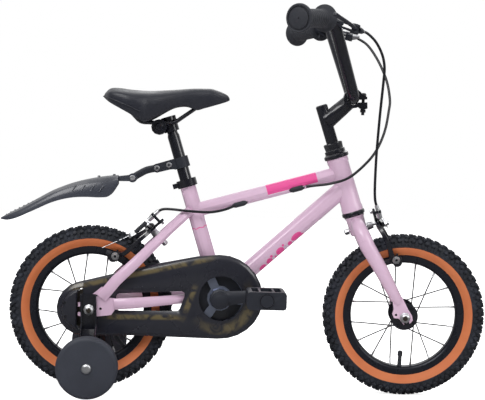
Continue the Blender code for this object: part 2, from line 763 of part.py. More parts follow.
def build_stem(steering):
    up = Vector((0.0, 0.0, 1.0))
    quill = turned([(QUILL_BOTTOM, QUILL_RADIUS), (QUILL_TOP - 2.0, QUILL_RADIUS), (QUILL_TOP, QUILL_RADIUS - 2)],
                   SIDES, direction=up, up=Y_AXIS)
    reach = Vector((CLAMP_X, 0.0, CLAMP_Z))
    arm = sweep([(0.0, 0.0, 173.0), (30.0, 0.0, 186.4), (CLAMP_X - 2.0, 0.0, CLAMP_Z - 0.9)],
                [(15.0, 16.0), (14.5, 15.0), (16.0, 13.5)], SIDES)
    half = Vector((0.0, CLAMP_WIDTH / 2, 0.0))
    ring = rod(reach - half, reach + half, CLAMP_RADIUS, 16)
    lugs = prism([(CLAMP_X + 4.0, 204.0), (CLAMP_X + 4.0, 182.0), (CLAMP_X + 10.0, 174.0),
                  (CLAMP_X + 20.0, 174.5), (CLAMP_X + 25.5, 195.0), (CLAMP_X + 20.0, 200.0)], -9.0, 9.0)
    stem = join(quill, arm, ring, lugs)
    bore = rod(reach - half * 1.5, reach + half * 1.5, BAR_BORE)
    slit = prism([(CLAMP_X, 196.5), (CLAMP_X + 40.0, 187.0), (CLAMP_X + 40.0, 180.5), (CLAMP_X, 192.0)],
                 -30.0, 30.0)
    throat = rod(Vector((0.0, 0.0, QUILL_BOTTOM - 5.0)), Vector((0.0, 0.0, QUILL_TOP + 5.0)), 4.4,
                 SMALL_SIDES)
    slant = prism([(-20.0, QUILL_BOTTOM - 20.0), (20.0, QUILL_BOTTOM - 20.0), (20.0, QUILL_BOTTOM + 16.0),
                   (-20.0, QUILL_BOTTOM - 16.0)], -20.0, 20.0)
    stem = cut(stem, bore, slit, throat, slant)
    bolt_up = Vector((0.318, 0.0, 0.948))
    foot = Vector((68.0, 0.0, 165.0))
    bolt = turned([(0.0, 3.0), (5.0, 3.0), (5.0, 6.0, "hex"), (10.5, 6.0, "hex"), (10.5, 3.0), (34.0, 3.0),
                   (34.0, 5.5), (39.0, 5.5), (41.0, 3.5)], SMALL_SIDES, start=foot, direction=bolt_up)
    make("stem", join(stem, bolt), "black_paint", steering)
    cone = turned([(QUILL_BOTTOM - 26.0, QUILL_RADIUS), (QUILL_BOTTOM + 20.0, QUILL_RADIUS)],
                  SIDES, direction=up, up=Y_AXIS)
    over = prism([(-20.0, QUILL_BOTTOM - 16.4), (20.0, QUILL_BOTTOM + 15.6), (20.0, QUILL_BOTTOM + 60.0),
                  (-20.0, QUILL_BOTTOM + 60.0)], -20.0, 20.0)
    wedge = cut(cone, over)
    screw = turned([(QUILL_BOTTOM - 10.0, 4.0), (QUILL_TOP + CLEAR, 4.0), (QUILL_TOP + CLEAR, 7.0, "hex"),
                    (QUILL_TOP + 4.5, 7.0, "hex"), (QUILL_TOP + 5.5, 5.5)], SMALL_SIDES, direction=up, up=Y_AXIS)
    make("stem_expander_bolt", join(wedge, screw), "black_paint", steering)


def on_side(point, side):
    return Vector((point.x, point.y * side, point.z))


def grip_along(side):
    return on_side((BAR_END - BAR_CORNER).normalized(), side)


def bar_tube(radius):
    """A tube of any radius along the middle of the handlebar."""
    half = [Vector((CLAMP_X, 0.0, CLAMP_Z)), Vector((CLAMP_X, BAR_FLAT, CLAMP_Z)), BAR_CORNER, BAR_END]
    left = bent_path(half, (30.0, 22.0), 3)[1:]
    whole = [on_side(point, -1) for point in reversed(left)] + left
    return sweep(whole, radius, SIDES, (1.0, 0.0, 0.3))


def build_handlebar(steering):
    make("handlebar", bar_tube(BAR_RADIUS), "black_paint", steering, 50.0)


def build_grips(steering):
    for name, side in (("grip_right", -1), ("grip_left", 1)):
        end = on_side(BAR_END, side)
        inward = -grip_along(side)
        bore = BAR_BORE
        length = GRIP_LENGTH
        width = GRIP_FLANGE_WIDTH
        profile = [(-3.0, 0.0), (-3.0, GRIP_FLANGE - 3.0), (-1.0, GRIP_FLANGE), (width - 3.0, GRIP_FLANGE), (width, GRIP_RADIUS + 3.0),
                   (width + 4.0, GRIP_RADIUS), (length - width - 4.0, GRIP_RADIUS),
                   (length - width, GRIP_RADIUS + 3.0), (length - width + 2.0, GRIP_FLANGE - 0.5),
                   (length, GRIP_FLANGE - 1.0), (length, bore), (-CLEAR, bore), (-CLEAR, 0.0)]
        make(name, turned(profile, SIDES, False, end, inward), "black_rubber", steering)


# Brake levers

def lever_axis(side):
    """The pivot axis of a lever: square to its blade and to the squeeze toward the grip."""
    blade = (LEVER_TIP - LEVER_PIVOT).normalized()
    along = grip_along(1)
    middle = (LEVER_TIP + LEVER_PIVOT) / 2
    squeeze = BAR_END - middle
    squeeze -= along * squeeze.dot(along)
    axis = blade.cross(squeeze).normalized()
    if axis.z < 0:
        axis.negate()
    return on_side(axis, side)


def build_lever(side, steering):
    name = "left" if side > 0 else "right"
    axis = lever_axis(1)
    bore = BAR_BORE
    clamp = BAR_END - grip_along(1) * LEVER_CLAMP_AT
    along = grip_along(1)
    ring = rod(clamp - along * 6.0, clamp + along * 6.0, bore + 3.5, 10)
    hub = rod(LEVER_PIVOT - axis * 8.0, LEVER_PIVOT + axis * 8.0, 8.0, SMALL_SIDES)
    neck_start = clamp.lerp(LEVER_PIVOT, 0.25)
    neck = sweep([neck_start, LEVER_PIVOT], [(7.0, 6.0), (8.0, 8.0)], 8, axis)
    snout = sweep([LEVER_PIVOT, HOUSING_EXIT.lerp(LEVER_PIVOT, 0.35), HOUSING_EXIT],
                  [(8.0, 7.5), (7.0, 6.0), (5.0, 5.0)], 8, axis)
    screw = rod(clamp + Vector((-13.0, -2.0, -16.0)), clamp + Vector((-6.0, -2.0, -9.0)), 3.0, 6)
    bracket = join(ring, neck, hub, snout, screw)
    slot_half = LEVER_THICKNESS / 2 + CLEAR
    blade = (LEVER_TIP - LEVER_PIVOT).normalized()
    outward = blade
    cross = axis.cross(outward).normalized()
    corner = Matrix((outward, cross, axis)).transposed().to_4x4()
    corner.translation = LEVER_PIVOT
    slot = moved(block((-9.5, -20.0, -slot_half), (24.0, 20.0, slot_half)), corner)
    bracket = cut(bracket, slot, bar_tube(bore))
    pin = rod(LEVER_PIVOT - axis * 6.0, LEVER_PIVOT + axis * 6.0, PIVOT_PIN, 8)
    bracket = join(bracket, pin)
    make("brake_bracket_" + name, sided(bracket, side), "black_plastic", steering)
    flip = 1.0 if side > 0 else -1.0
    pivot = empty("brake_lever_%s_axis" % name, at(on_side(LEVER_PIVOT, side)), steering)
    root = rod(-axis * LEVER_THICKNESS / 2, axis * LEVER_THICKNESS / 2, 6.5, SMALL_SIDES)
    tip = LEVER_TIP - LEVER_PIVOT
    bow = LEVER_ROOT - LEVER_PIVOT
    bow -= axis * bow.dot(axis)
    points = [tip * 0.02, tip * 0.12 + bow * 0.25, tip * 0.3 + bow * 0.42, tip * 0.55 + bow * 0.38,
              tip * 0.8 + bow * 0.16, tip * 0.97, tip]
    sizes = [(5.5, 3.4), (5.5, 3.4), (4.8, 3.4), (4.5, 3.2), (4.5, 3.2), (5.2, 3.6), (3.5, 2.5)]
    lever = join(root, sweep(points, sizes, 8, axis))
    lever = cut(lever, rod(-axis * 20.0, axis * 20.0, PIVOT_PIN + CLEAR, 8))
    lever = sided(lever, side) if flip > 0 else mirrored(lever)
    make("brake_lever_" + name, lever, "black_plastic", pivot)


# Brake calipers: a frame with X along the bolt, Z away from the pads

def arm_outline(points, widths):
    """A flat bar along points, as a closed outline in the brake's plane."""
    left, right = [], []
    for index, point in enumerate(points):
        here = Vector(point)
        before = Vector(points[max(0, index - 1)])
        after = Vector(points[min(len(points) - 1, index + 1)])
        along = (after - before).normalized()
        normal = Vector((-along.y, along.x))
        left.append(tuple(here + normal * widths[index]))
        right.append(tuple(here - normal * widths[index]))
    return left + list(reversed(right))


def build_brake(name, brake, hand, pad_drop, bolt_back, bolt_steps):
    """A side-pull caliper; hand is the side of the cable in the brake's frame."""
    pad_face = RIM_WIDTH / 2 + PAD_GAP
    pad_mid = pad_face + PAD_DEPTH / 2
    reach = pad_face + PAD_DEPTH + CLEAR + 2.5
    axis = Vector((1.0, 0.0, 0.0))
    side_names = {hand: "right" if hand == -1 else "left", -hand: "left" if hand == -1 else "right"}
    if name == "rear":
        side_names = {hand: "right", -hand: "left"}
    hole = BRAKE_BOLT_RADIUS + CLEAR
    for side in (hand, -hand):
        upper = side == hand
        low, high = (-ARM_THICKNESS - 0.15, -0.15) if upper else (0.15, ARM_THICKNESS + 0.15)
        s = float(side)
        down = [(0.0, 0.0), (19.0 * s, -4.0), (32.0 * s, -16.0), (37.0 * s, -34.0), (34.0 * s, -56.0),
                (reach * s, -pad_drop + 6.0), (reach * s, -pad_drop - 7.0)]
        widths = [9.0, 8.0, 7.0, 6.0, 5.5, 5.2, 5.3]
        arm = prism(arm_outline(down, widths), low, high, "YZ")
        boss = rod(axis * low, axis * high, 10.0, SMALL_SIDES)
        arm = join(arm, boss)
        if upper:
            tail = [(0.0, 0.0), (9.0 * hand, 14.0), (CABLE_SIDE * hand, 24.0)]
            tail_bar = prism(arm_outline(tail, [8.0, 7.0, 6.0]), low, high, "YZ")
            socket = rod(Vector((9.5, CABLE_SIDE * hand, 15.0)), Vector((9.5, CABLE_SIDE * hand, 35.0)),
                         5.0, 6)
            shelf = block((low + 0.4, min(hand * 13, hand * 27), 17.0), (12.0, max(hand * 13, hand * 27), 24.0))
            arm = join(arm, tail_bar, shelf, socket)
            wire = rod(Vector((9.5, CABLE_SIDE * hand, 0.0)), Vector((9.5, CABLE_SIDE * hand, 50.0)), 1.3, 6)
            arm = cut(arm, wire)
        else:
            tail = [(0.0, 0.0), (11.0 * hand, -2.0), ((CABLE_SIDE + 3.0) * hand, -4.0)]
            tail_bar = prism(arm_outline(tail, [8.0, 6.0, 5.0]), low, high, "YZ")
            anchor = turned([(high - 1.0, 6.0), (high + 8.0, 6.0), (high + 9.0, 4.0)],
                            6, start=Vector((0.0, (CABLE_SIDE + 2.0) * hand, -4.0)), direction=axis)
            arm = join(arm, tail_bar, anchor)
        foot = Vector((0.0, reach * s, -pad_drop - 0.8))
        nose = rod(foot + axis * (low + 0.6), foot + axis * (PAD_FORWARD + 3.0), 4.6, 8)
        inner_limit = block((-30.0, -pad_face - PAD_DEPTH - CLEAR, -pad_drop - 20.0),
                            (30.0, pad_face + PAD_DEPTH + CLEAR, -pad_drop + 12.0))
        post_hole = rod(axis * -20.0, axis * 20.0, hole, 10)
        post = turned([(pad_face + 3.0, 3.0), (reach + 3.1, 3.0), (reach + 3.1, 5.9), (reach + 8.5, 5.9),
                       (reach + 8.5, 3.0), (reach + 11.0, 3.0)], 8,
                      start=Vector((PAD_FORWARD, 0.0, -pad_drop)), direction=Y_AXIS * s)
        arm = join(cut(join(arm, nose), inner_limit, post_hole), post)
        pad_centre = Vector((PAD_FORWARD, pad_mid * s, -pad_drop))
        pad = turned([(-PAD_LENGTH / 2, 3.4), (-PAD_LENGTH / 2 + 3.0, 4.4), (PAD_LENGTH / 2 - 3.0, 4.4),
                      (PAD_LENGTH / 2, 3.4)], 8, start=pad_centre, direction=axis)
        depth = Matrix.Diagonal((1.0, PAD_DEPTH / 8.14, PAD_HEIGHT / 8.14, 1.0))
        pad = moved(moved(moved(pad, at(-pad_centre)), depth), at(pad_centre))
        socket_hole = rod(Vector((PAD_FORWARD, (pad_face + 2.0) * s, -pad_drop)),
                          Vector((PAD_FORWARD, (reach + 20.0) * s, -pad_drop)), 3.0 + CLEAR, 8)
        pad = cut(pad, socket_hole)
        word = side_names[side]
        make("%s_brake_arm_%s" % (name, word), arm, "black_paint", brake)
        make("%s_brake_pad_%s" % (name, word), pad, "black_rubber", brake)
    make("%s_brake_bolt" % name, turned(bolt_steps, SMALL_SIDES, start=Vector((bolt_back, 0.0, 0.0)), direction=axis),
         "bright_steel", brake)


# Wheels

def tyre_outline():
    """Half of the tyre's section from bead to crown, as (across, radius)."""
    half = TYRE_WIDTH / 2
    rim_inside = RIM_WIDTH / 2 - RIM_WALL - CLEAR
    return [(rim_inside, RIM_RADIUS - 4.5), (rim_inside, RIM_RADIUS + 0.2),
            (half, WHEEL_RADIUS - 19.0),
            (half * 0.88, WHEEL_RADIUS - 8.5), (half * 0.42, WHEEL_RADIUS - LUG_HEIGHT)]


def build_tyre(name, parent, centre):
    """A tyre open toward the rim, with lugs raised from its tread in a staggered pattern."""
    half = tyre_outline()
    inner = [(half[0][0] - 3.0, half[0][1]), (half[2][0] - TYRE_WALL * 1.4, half[2][1] + 4.0)]
    left = [(-y, r) for y, r in reversed(half)]
    outer = half + left
    hollow = [(-y, r) for y, r in inner] + list(reversed(inner))
    steps = LUG_PITCHES * 2
    profile = outer + hollow
    tyre = turned(profile, steps, True, centre)
    lugs = []
    faces = {}
    for face in tyre.faces:
        middle = face.calc_center_median() - centre
        radius = math.hypot(middle.x, middle.z)
        if radius < WHEEL_RADIUS - LUG_HEIGHT - 7.0:
            continue
        turn = round((math.degrees(math.atan2(middle.z, middle.x)) % 360) / (360 / steps) - 0.5) % steps
        across = middle.y
        row = 0 if abs(across) < 1.0 else (1 if across > 0 else 2)
        faces[(row, turn)] = face
    for (row, turn), face in faces.items():
        odd = turn % 2 == 1
        if (row == 0 and odd) or (row != 0 and not odd):
            lugs.append(face)
    made = bmesh.ops.extrude_discrete_faces(tyre, faces=lugs)
    for face in made["faces"]:
        middle = face.calc_center_median() - centre
        flat = Vector((middle.x, 0.0, middle.z))
        outward = (flat.normalized() + Y_AXIS * (0.55 if middle.y > 1 else -0.55 if middle.y < -1 else 0.0))
        bmesh.ops.translate(tyre, verts=face.verts, vec=outward.normalized() * (LUG_HEIGHT + 0.8))
        shrink = 0.86
        place = face.calc_center_median()
        for vertex in face.verts:
            vertex.co = place + (vertex.co - place) * shrink
    make(name, tyre, "tyre_rubber", parent)


def build_rim(name, parent, centre, valve_angle):
    half = RIM_WIDTH / 2
    inside = half - RIM_WALL
    bottom = RIM_RADIUS - RIM_DEPTH
    profile = [(-half, RIM_RADIUS), (-half, bottom + 4.5), (-half + 5.0, bottom), (half - 5.0, bottom),
               (half, bottom + 4.5), (half, RIM_RADIUS), (inside, RIM_RADIUS), (inside, RIM_RADIUS - 5.5),
               (-inside, RIM_RADIUS - 5.5), (-inside, RIM_RADIUS)]
    rim = turned(profile, LUG_PITCHES * 2, True, centre)
    out = Vector((math.cos(valve_angle), 0.0, math.sin(valve_angle)))
    valve = turned([(bottom - 26.0, 2.6), (bottom - 14.0, 3.8),
                    (bottom + 1.5, 3.2)], 6, start=centre, direction=out)
    make(name, join(rim, valve), "black_paint", parent)


def build_hub(name, parent, centre, right_flange, left_flange, right_end, left_end, turn):
    """A hub and its crossed spokes; the spokes of one flange go both ways and pass each other."""
    bore = AXLE_RADIUS + 0.8
    half = FLANGE_THICKNESS / 2
    profile = [(-right_end, bore), (-right_end, 12.0)]
    if right_end - right_flange > 8.0:
        profile = [(-right_end, bore), (-right_end, 10.5), (-right_flange - 6.0, 10.5), (-right_flange - 6.0, 16.0)]
    profile += [(-right_flange - half, 16.0), (-right_flange - half, FLANGE_RADIUS),
                (-right_flange + half, FLANGE_RADIUS), (-right_flange + half, HUB_RADIUS),
                (left_flange - half, HUB_RADIUS), (left_flange - half, FLANGE_RADIUS),
                (left_flange + half, FLANGE_RADIUS), (left_flange + half, 14.0), (left_end, 12.0),
                (left_end, bore)]
    hub = turned(profile, SIDES, True)
    end = (RIM_RADIUS - RIM_DEPTH) * math.cos(math.pi / LUG_PITCHES / 2) - 3 * CLEAR
    per_side = SPOKE_COUNT // 2
    spacing = 2 * math.pi / per_side
    spokes = []
    for flange, side in ((-right_flange, -1), (left_flange, 1)):
        for number in range(per_side):
            lead = 1 if (number % 2 == 0) == (side < 0) else -1
            hub_angle = number * spacing + turn
            rim_angle = hub_angle + lead * spacing * 1.25
            lean = 2.2 * lead
            a = Vector((math.cos(hub_angle), 0.0, math.sin(hub_angle)))
            b = Vector((math.cos(rim_angle), 0.0, math.sin(rim_angle)))
            first = a * (FLANGE_RADIUS - 4.0) + Y_AXIS * (flange + lean * side)
            last = b * end + Y_AXIS * side * 2.0
            spokes.append(sweep([first, last], [SPOKE_RADIUS * 1.2, SPOKE_RADIUS * 1.6], 3, Y_AXIS + a * 0.1))
    for spoke in spokes:
        hub = combined(hub, spoke, "UNION")
    make(name, moved(hub, at(centre)), "black_paint", parent)


# Drive

def sprocket(teeth, thickness, hole, start):
    """A toothed disc; its tooth gaps stand under the pins, the first at the start angle."""
    pitch = pitch_radius(teeth)
    root = pitch - LINK_HEIGHT / 2 - 0.35
    tip = pitch + TOOTH_HEIGHT
    step = 2 * math.pi / teeth
    outline = []
    for number in range(teeth):
        tooth = start + (number + 0.5) * step
        for offset, radius in ((-0.26, root), (0.0, tip), (0.26, root)):
            angle = tooth + offset * step
            outline.append((radius * math.cos(angle), radius * math.sin(angle)))
    disc = prism(outline, -thickness / 2, thickness / 2)
    if hole:
        disc = cut(disc, rod(-Y_AXIS * 20.0, Y_AXIS * 20.0, hole))
    return disc


def chain_pins():
    """Pin centres round both sprockets in drawing coordinates, and the angles of contact."""
    front, straight, rear, lean = wrap_links(CENTRES)
    slope = math.atan2(BOTTOM_BRACKET.z - REAR_AXLE.z, BOTTOM_BRACKET.x - REAR_AXLE.x)
    upper = slope + math.pi / 2 + lean
    lower = slope - math.pi / 2 - lean
    big, small = pitch_radius(CHAINRING_TEETH), pitch_radius(FREEWHEEL_TEETH)
    def on(centre, radius, angle):
        return Vector((centre.x + radius * math.cos(angle), 0.0, centre.z + radius * math.sin(angle)))
    pins = []
    for index in range(CHAIN_LINKS):
        place = index + 0.5
        if place < front:
            pins.append(on(BOTTOM_BRACKET, big, upper - 2 * math.pi * place / CHAINRING_TEETH))
        elif place < front + straight:
            part = (place - front) / straight
            pins.append(on(BOTTOM_BRACKET, big, lower).lerp(on(REAR_AXLE, small, lower), part))
        elif place < front + straight + rear:
            turn = 2 * math.pi * (place - front - straight) / FREEWHEEL_TEETH
            pins.append(on(REAR_AXLE, small, lower - turn))
        else:
            part = (place - front - straight - rear) / straight
            pins.append(on(REAR_AXLE, small, upper).lerp(on(BOTTOM_BRACKET, big, upper), part))
    front_start = upper - math.pi / CHAINRING_TEETH
    first_rear = math.ceil(front + straight - 0.5) + 0.5 - front - straight
    rear_start = lower - 2 * math.pi * first_rear / FREEWHEEL_TEETH
    return pins, front_start, rear_start


def build_chain(root):
    """One loop of links: two side rails with a pin block between them at each pin."""
    pins = chain_pins()[0]
    count = len(pins)
    solid = bmesh.new()
    stations = []
    for index, pin in enumerate(pins):
        along = (pins[(index + 1) % count] - pins[index - 1]).normalized()
        up = Vector((along.z, 0.0, -along.x))
        middle = pin - Y_AXIS * CHAIN_LINE
        station = {}
        for end, height in enumerate((-LINK_HEIGHT / 2, LINK_HEIGHT / 2)):
            for side in (-1, 1):
                outside = middle + up * height + Y_AXIS * side * CHAIN_WIDTH / 2
                inside = middle + up * height + Y_AXIS * side * CHAIN_INNER / 2
                station["out", side, end] = solid.verts.new(outside)
                station["near", side, end] = solid.verts.new(inside - along * PIN_LENGTH / 2)
                station["far", side, end] = solid.verts.new(inside + along * PIN_LENGTH / 2)
        stations.append(station)
    for index, here in enumerate(stations):
        after = stations[(index + 1) % count]
        for end in (0, 1):
            solid.faces.new([here[key] for key in (("near", -1, end), ("far", -1, end), ("far", 1, end),
                                                   ("near", 1, end))])
            for side in (-1, 1):
                solid.faces.new((here["out", side, end], after["out", side, end], after["near", side, end],
                                 here["far", side, end], here["near", side, end]))
        for place in ("near", "far"):
            solid.faces.new([here[key] for key in ((place, -1, 0), (place, 1, 0), (place, 1, 1),
                                                   (place, -1, 1))])
        for side in (-1, 1):
            solid.faces.new((here["out", side, 0], after["out", side, 0], after["out", side, 1],
                             here["out", side, 1]))
            solid.faces.new((here["far", side, 0], after["near", side, 0], after["near", side, 1],
                             here["far", side, 1]))
    bmesh.ops.recalc_face_normals(solid, faces=solid.faces)
    make("chain", solid, "chain_steel", root)


def build_freewheel(parent, centre):
    rear_start = chain_pins()[2]
    disc = sprocket(FREEWHEEL_TEETH, RING_THICKNESS, 0.0, rear_start)
    disc = moved(disc, at(-Y_AXIS * CHAIN_LINE))
    body = turned([(-CHAIN_LINE - 3.5, 17.0), (-CHAIN_LINE + 7.0, 17.0), (-CHAIN_LINE + 8.0, 15.5)], SIDES)
    wheel = join(disc, body)
    wheel = cut(wheel, rod(-Y_AXIS * 60.0, Y_AXIS * 10.0, 10.5 + 0.6, SIDES))
    make("freewheel", moved(wheel, at(centre)), "chain_steel", parent)


def crank_arm(side):
    """A crank forged with a round boss, a waisted arm and a pedal eye, along +X."""
    inner = CRANK_INNER
    outer = inner + CRANK_THICKNESS
    boss = turned([(inner, CRANK_BOSS - 1.5), (inner + 1.5, CRANK_BOSS), (outer - 2.0, CRANK_BOSS),
                   (outer, CRANK_BOSS - 3.0)], SIDES)
    arm = sweep([(0.0, inner + 7.5, 0.0), (22.0, inner + 7.5, 0.0), (45.0, inner + 10.0, 0.0),
                 (CRANK_LENGTH, inner + 13.0, 0.0)],
                [(6.5, 16.0), (6.0, 13.5), (5.8, 12.0), (6.0, 12.5)], 8, (0.0, 0.0, 1.0))
    eye = turned([(inner + 6.0, 12.0), (inner + 7.5, 13.5), (inner + 19.0, 13.5), (inner + 20.0, 12.5)], SIDES,
                 start=Vector((CRANK_LENGTH, 0.0, 0.0)))
    axle = turned([(inner + 10.0, PEDAL_AXLE_RADIUS + 2.0), (PEDAL_INNER - 1.5, PEDAL_AXLE_RADIUS + 2.0),
                   (PEDAL_INNER - 1.5, PEDAL_AXLE_RADIUS), (PEDAL_INNER + PEDAL_WIDTH - 8.0, PEDAL_AXLE_RADIUS)],
                  SMALL_SIDES, start=Vector((CRANK_LENGTH, 0.0, 0.0)))
    arm = join(boss, arm, eye, axle)
    arm = cut(arm, rod(Y_AXIS * (inner - 9.0), Y_AXIS * (outer - 3.0), SPINDLE_RADIUS + CLEAR, SMALL_SIDES))
    return sided(arm, side)


def build_cranks(crank):
    for name, side, turn in (("crank_right", -1, 0.0), ("crank_left", 1, math.pi)):
        solid = moved(crank_arm(side), Matrix.Rotation(turn, 4, "Y"))
        make(name, solid, "black_plastic", crank)
    reach = CRANK_INNER + CRANK_THICKNESS - 3.0 - CLEAR
    collar = CRANK_INNER - CLEAR
    spindle = turned([(-reach, SPINDLE_RADIUS), (-collar, SPINDLE_RADIUS), (collar, SPINDLE_RADIUS),
                      (reach, SPINDLE_RADIUS)], SMALL_SIDES)
    make("crank_spindle", spindle, "grey_steel", crank)


def build_chainring(crank):
    """A chainring on a spider whose windows leave three arms."""
    front_start = chain_pins()[1] - CRANK_REST
    ring = sprocket(CHAINRING_TEETH, RING_THICKNESS, 0.0, front_start)
    ring = moved(ring, at(-Y_AXIS * CHAIN_LINE))
    boss = turned([(-CRANK_INNER + CLEAR, 17.0), (-CHAIN_LINE - 2.5, 20.0), (-CHAIN_LINE + 1.0, 20.0)], SIDES)
    ring = join(ring, boss)
    for number in range(SPIDER_ARMS):
        middle = 48.0 + 360.0 / SPIDER_ARMS * number
        half_out = 180.0 / SPIDER_ARMS - 11.0
        half_in = 180.0 / SPIDER_ARMS - 20.0
        window = arc((0.0, 0.0), 42.0, middle - half_out, middle + half_out, 6)
        window += arc((0.0, 0.0), 23.0, middle + half_in, middle - half_in, 3)
        ring = cut(ring, prism(window, -CHAIN_LINE - 20.0, -CHAIN_LINE + 20.0))
    ring = cut(ring, rod(-Y_AXIS * 60.0, -Y_AXIS * 20.0, SPINDLE_RADIUS + CLEAR, SMALL_SIDES))
    make("chainring", ring, "grey_steel", crank)


def build_pedal(side, crank):
    name = "left" if side > 0 else "right"
    turn = -1.0 if side > 0 else 1.0
    offset = Matrix.Translation(Vector((CRANK_LENGTH * turn, 0.0, 0.0)))
    level = Matrix.Rotation(CRANK_REST, 4, "Y")
    pedal = empty("pedal_%s_axis" % name, offset @ level, crank)
    low, high = PEDAL_INNER, PEDAL_INNER + PEDAL_WIDTH
    half_length, half_height = PEDAL_LENGTH / 2, PEDAL_HEIGHT / 2
    outline = rounded([(-half_length, -half_height), (half_length, -half_height),
                       (half_length, half_height), (-half_length, half_height)], 5.0, 2)
    body = prism(outline, low, high)
    gap = 14.0
    for sign in (-1, 1):
        near, far = sorted((sign * gap, sign * (half_length - 9.0)))
        well = block((near, low + 10.0, -30.0), (far, high - 10.0, 30.0))
        body = cut(body, well)
    for sign in (-1, 1):
        dish = block((-10.0, low + 14.0, sign * 9.5 - 4.0), (10.0, high - 14.0, sign * 9.5 + 9.0))
        if sign < 0:
            dish.free()
            dish = block((-10.0, low + 14.0, -18.5), (10.0, high - 14.0, -9.5))
        body = cut(body, dish)
    bore = rod(Y_AXIS * (low - 10.0), Y_AXIS * (high - 7.5), PEDAL_AXLE_RADIUS + 0.6, SMALL_SIDES)
    cap = turned([(high - 1.0, 12.5), (high + 1.5, 12.5), (high + 2.5, 11.0)], SIDES)
    body = cut(join(body, cap), bore)
    make("pedal_" + name, sided(body, side), "black_plastic", pedal)


# Chain case

def case_outline():
    """The outline of the chain case, anticlockwise from the lower rear."""
    bottom = BOTTOM_BRACKET
    rear = (CASE_REAR_X, REAR_AXLE.z)
    lower = [(86.0, 103.0), (176.0, 101.5)]
    front = arc((bottom.x, bottom.z), CASE_FRONT_RADIUS, -92.0, 92.0, 13)
    front = [(x, z if z > bottom.z else bottom.z - (bottom.z - z) * 0.945) for x, z in front]
    upper = [(194.0, 250.2), (116.0, 233.9), (32.5, 212.0)]
    back = arc(rear, CASE_REAR_RADIUS, 104.7, 268.0, 9)
    return lower + front + upper + back


def case_shell(outline):
    """An open-backed shell with a bevelled outer edge."""
    def level(distance, y):
        return [Vector((x, y, z)) for x, z in inset(outline, distance)]
    outer = rings_solid([level(0.0, -CASE_BACK), level(0.0, -CASE_FACE + 5.5), level(3.0, -CASE_FACE + 2.0),
                         level(9.0, -CASE_FACE)])
    wall = CASE_WALL
    inner = rings_solid([level(wall, -CASE_BACK + 5.0), level(wall, -CASE_FACE + 6.0),
                         level(wall + 3.0, -CASE_FACE + 3.5), level(wall + 9.0, -CASE_FACE + wall)])
    return cut(outer, inner)


def window_outline():
    return [(39.0, 139.0), (168.0, 141.0), (188.0, 196.0), (39.0, 187.5)]


def build_chain_case(root):
    outline = case_outline()
    case = case_shell(outline)
    def tub(distance, far, near):
        wide, narrow = [rounded(inset(window_outline(), distance + more), WINDOW_CORNER, 2)
                        for more in (0.0, WINDOW_BEVEL)]
        return rings_solid([[Vector((x, far, z)) for x, z in wide], [Vector((x, near, z)) for x, z in narrow]])
    case = join(case, tub(-CASE_WALL, -CASE_FACE + 0.8, -CASE_FACE + WINDOW_DEPTH))
    case = cut(case, tub(0.0, -CASE_FACE - 0.05, -CASE_FACE + WINDOW_DEPTH + 0.05))
    hole = Vector((BOTTOM_BRACKET.x + 3.0, 0.0, BOTTOM_BRACKET.z))
    case = cut(case, rod(hole - Y_AXIS * 60.0, hole - Y_AXIS * 40.0, CASE_HOLE_RADIUS, 24))
    behind = block((-100.0, -80.0, 60.0), (CASE_SPLIT_X + 5.0, 0.0, 260.0))
    slot = rod(REAR_AXLE - Y_AXIS * 70.0, REAR_AXLE - Y_AXIS * 40.0, 12.0)
    tab = block((-60.0, -70.0, REAR_AXLE.z - 12.0), (0.0, -40.0, REAR_AXLE.z + 12.0))
    case = cut(case, behind, slot, tab)
    near, far = -BB_WIDTH / 2 + 1.0, -BB_WIDTH / 2 + 1.0 + BRACKET_WALL
    floor = min(z for x, z in outline) + CASE_WALL / 2
    bracket = block((BOTTOM_BRACKET.x - BRACKET_WIDTH / 2, near, floor),
                    (BOTTOM_BRACKET.x + BRACKET_WIDTH / 2, far, BOTTOM_BRACKET.z - BB_RADIUS * 0.7))
    shell = rod(BOTTOM_BRACKET - Y_AXIS * BB_WIDTH, BOTTOM_BRACKET + Y_AXIS * BB_WIDTH, BB_RADIUS + CLEAR)
    case = join(case, cut(bracket, shell))
    make("chain_case", case, "gloss_plastic", root)
    cover = case_shell(outline)
    ahead = block((CASE_SPLIT_X + 5.0 - CLEAR, -80.0, 60.0), (400.0, 0.0, 260.0))
    cover = cut(cover, ahead)
    rear = (CASE_REAR_X, REAR_AXLE.z)
    bulge = [(min(x, CASE_SPLIT_X), z) for x, z in arc(rear, CASE_REAR_RADIUS - 8.0, 98.0, 262.0, 8)]
    hollow = arc(rear, CASE_REAR_RADIUS - 8.0 - CASE_WALL, 96.0, 264.0, 8)
    hollow += [(CASE_SPLIT_X + 16.0, hollow[-1][1]), (CASE_SPLIT_X + 16.0, hollow[0][1])]
    def shape(outline, distance, y):
        return [Vector((x, y, z)) for x, z in inset(outline, distance)]
    top = rings_solid([shape(bulge, 0.0, -CASE_FACE + 1.0), shape(bulge, 2.0, -COVER_BULGE + 4.0),
                       shape(bulge, 7.0, -COVER_BULGE)])
    pocket = rings_solid([shape(hollow, 0.0, -CASE_BACK + 5.0), shape(hollow, 1.5, -COVER_BULGE + 5.0),
                          shape(hollow, 6.0, -COVER_BULGE + CASE_WALL)])
    cover = cut(join(cover, top), pocket)
    middle = REAR_AXLE.z
    axle_gap = block((-24.0, -58.2, middle - 15.5), (0.0, -35.0, middle + 15.5))
    cover = cut(cover, axle_gap)
    for low, high in ((middle + 5.6, middle + 12.6), (middle - 12.6, middle - 5.6)):
        cover = cut(cover, block((-22.5, -70.0, low), (-17.4, -50.0, high)))
    make("chain_case_rear_cover", cover, "black_plastic", root)


# Seat

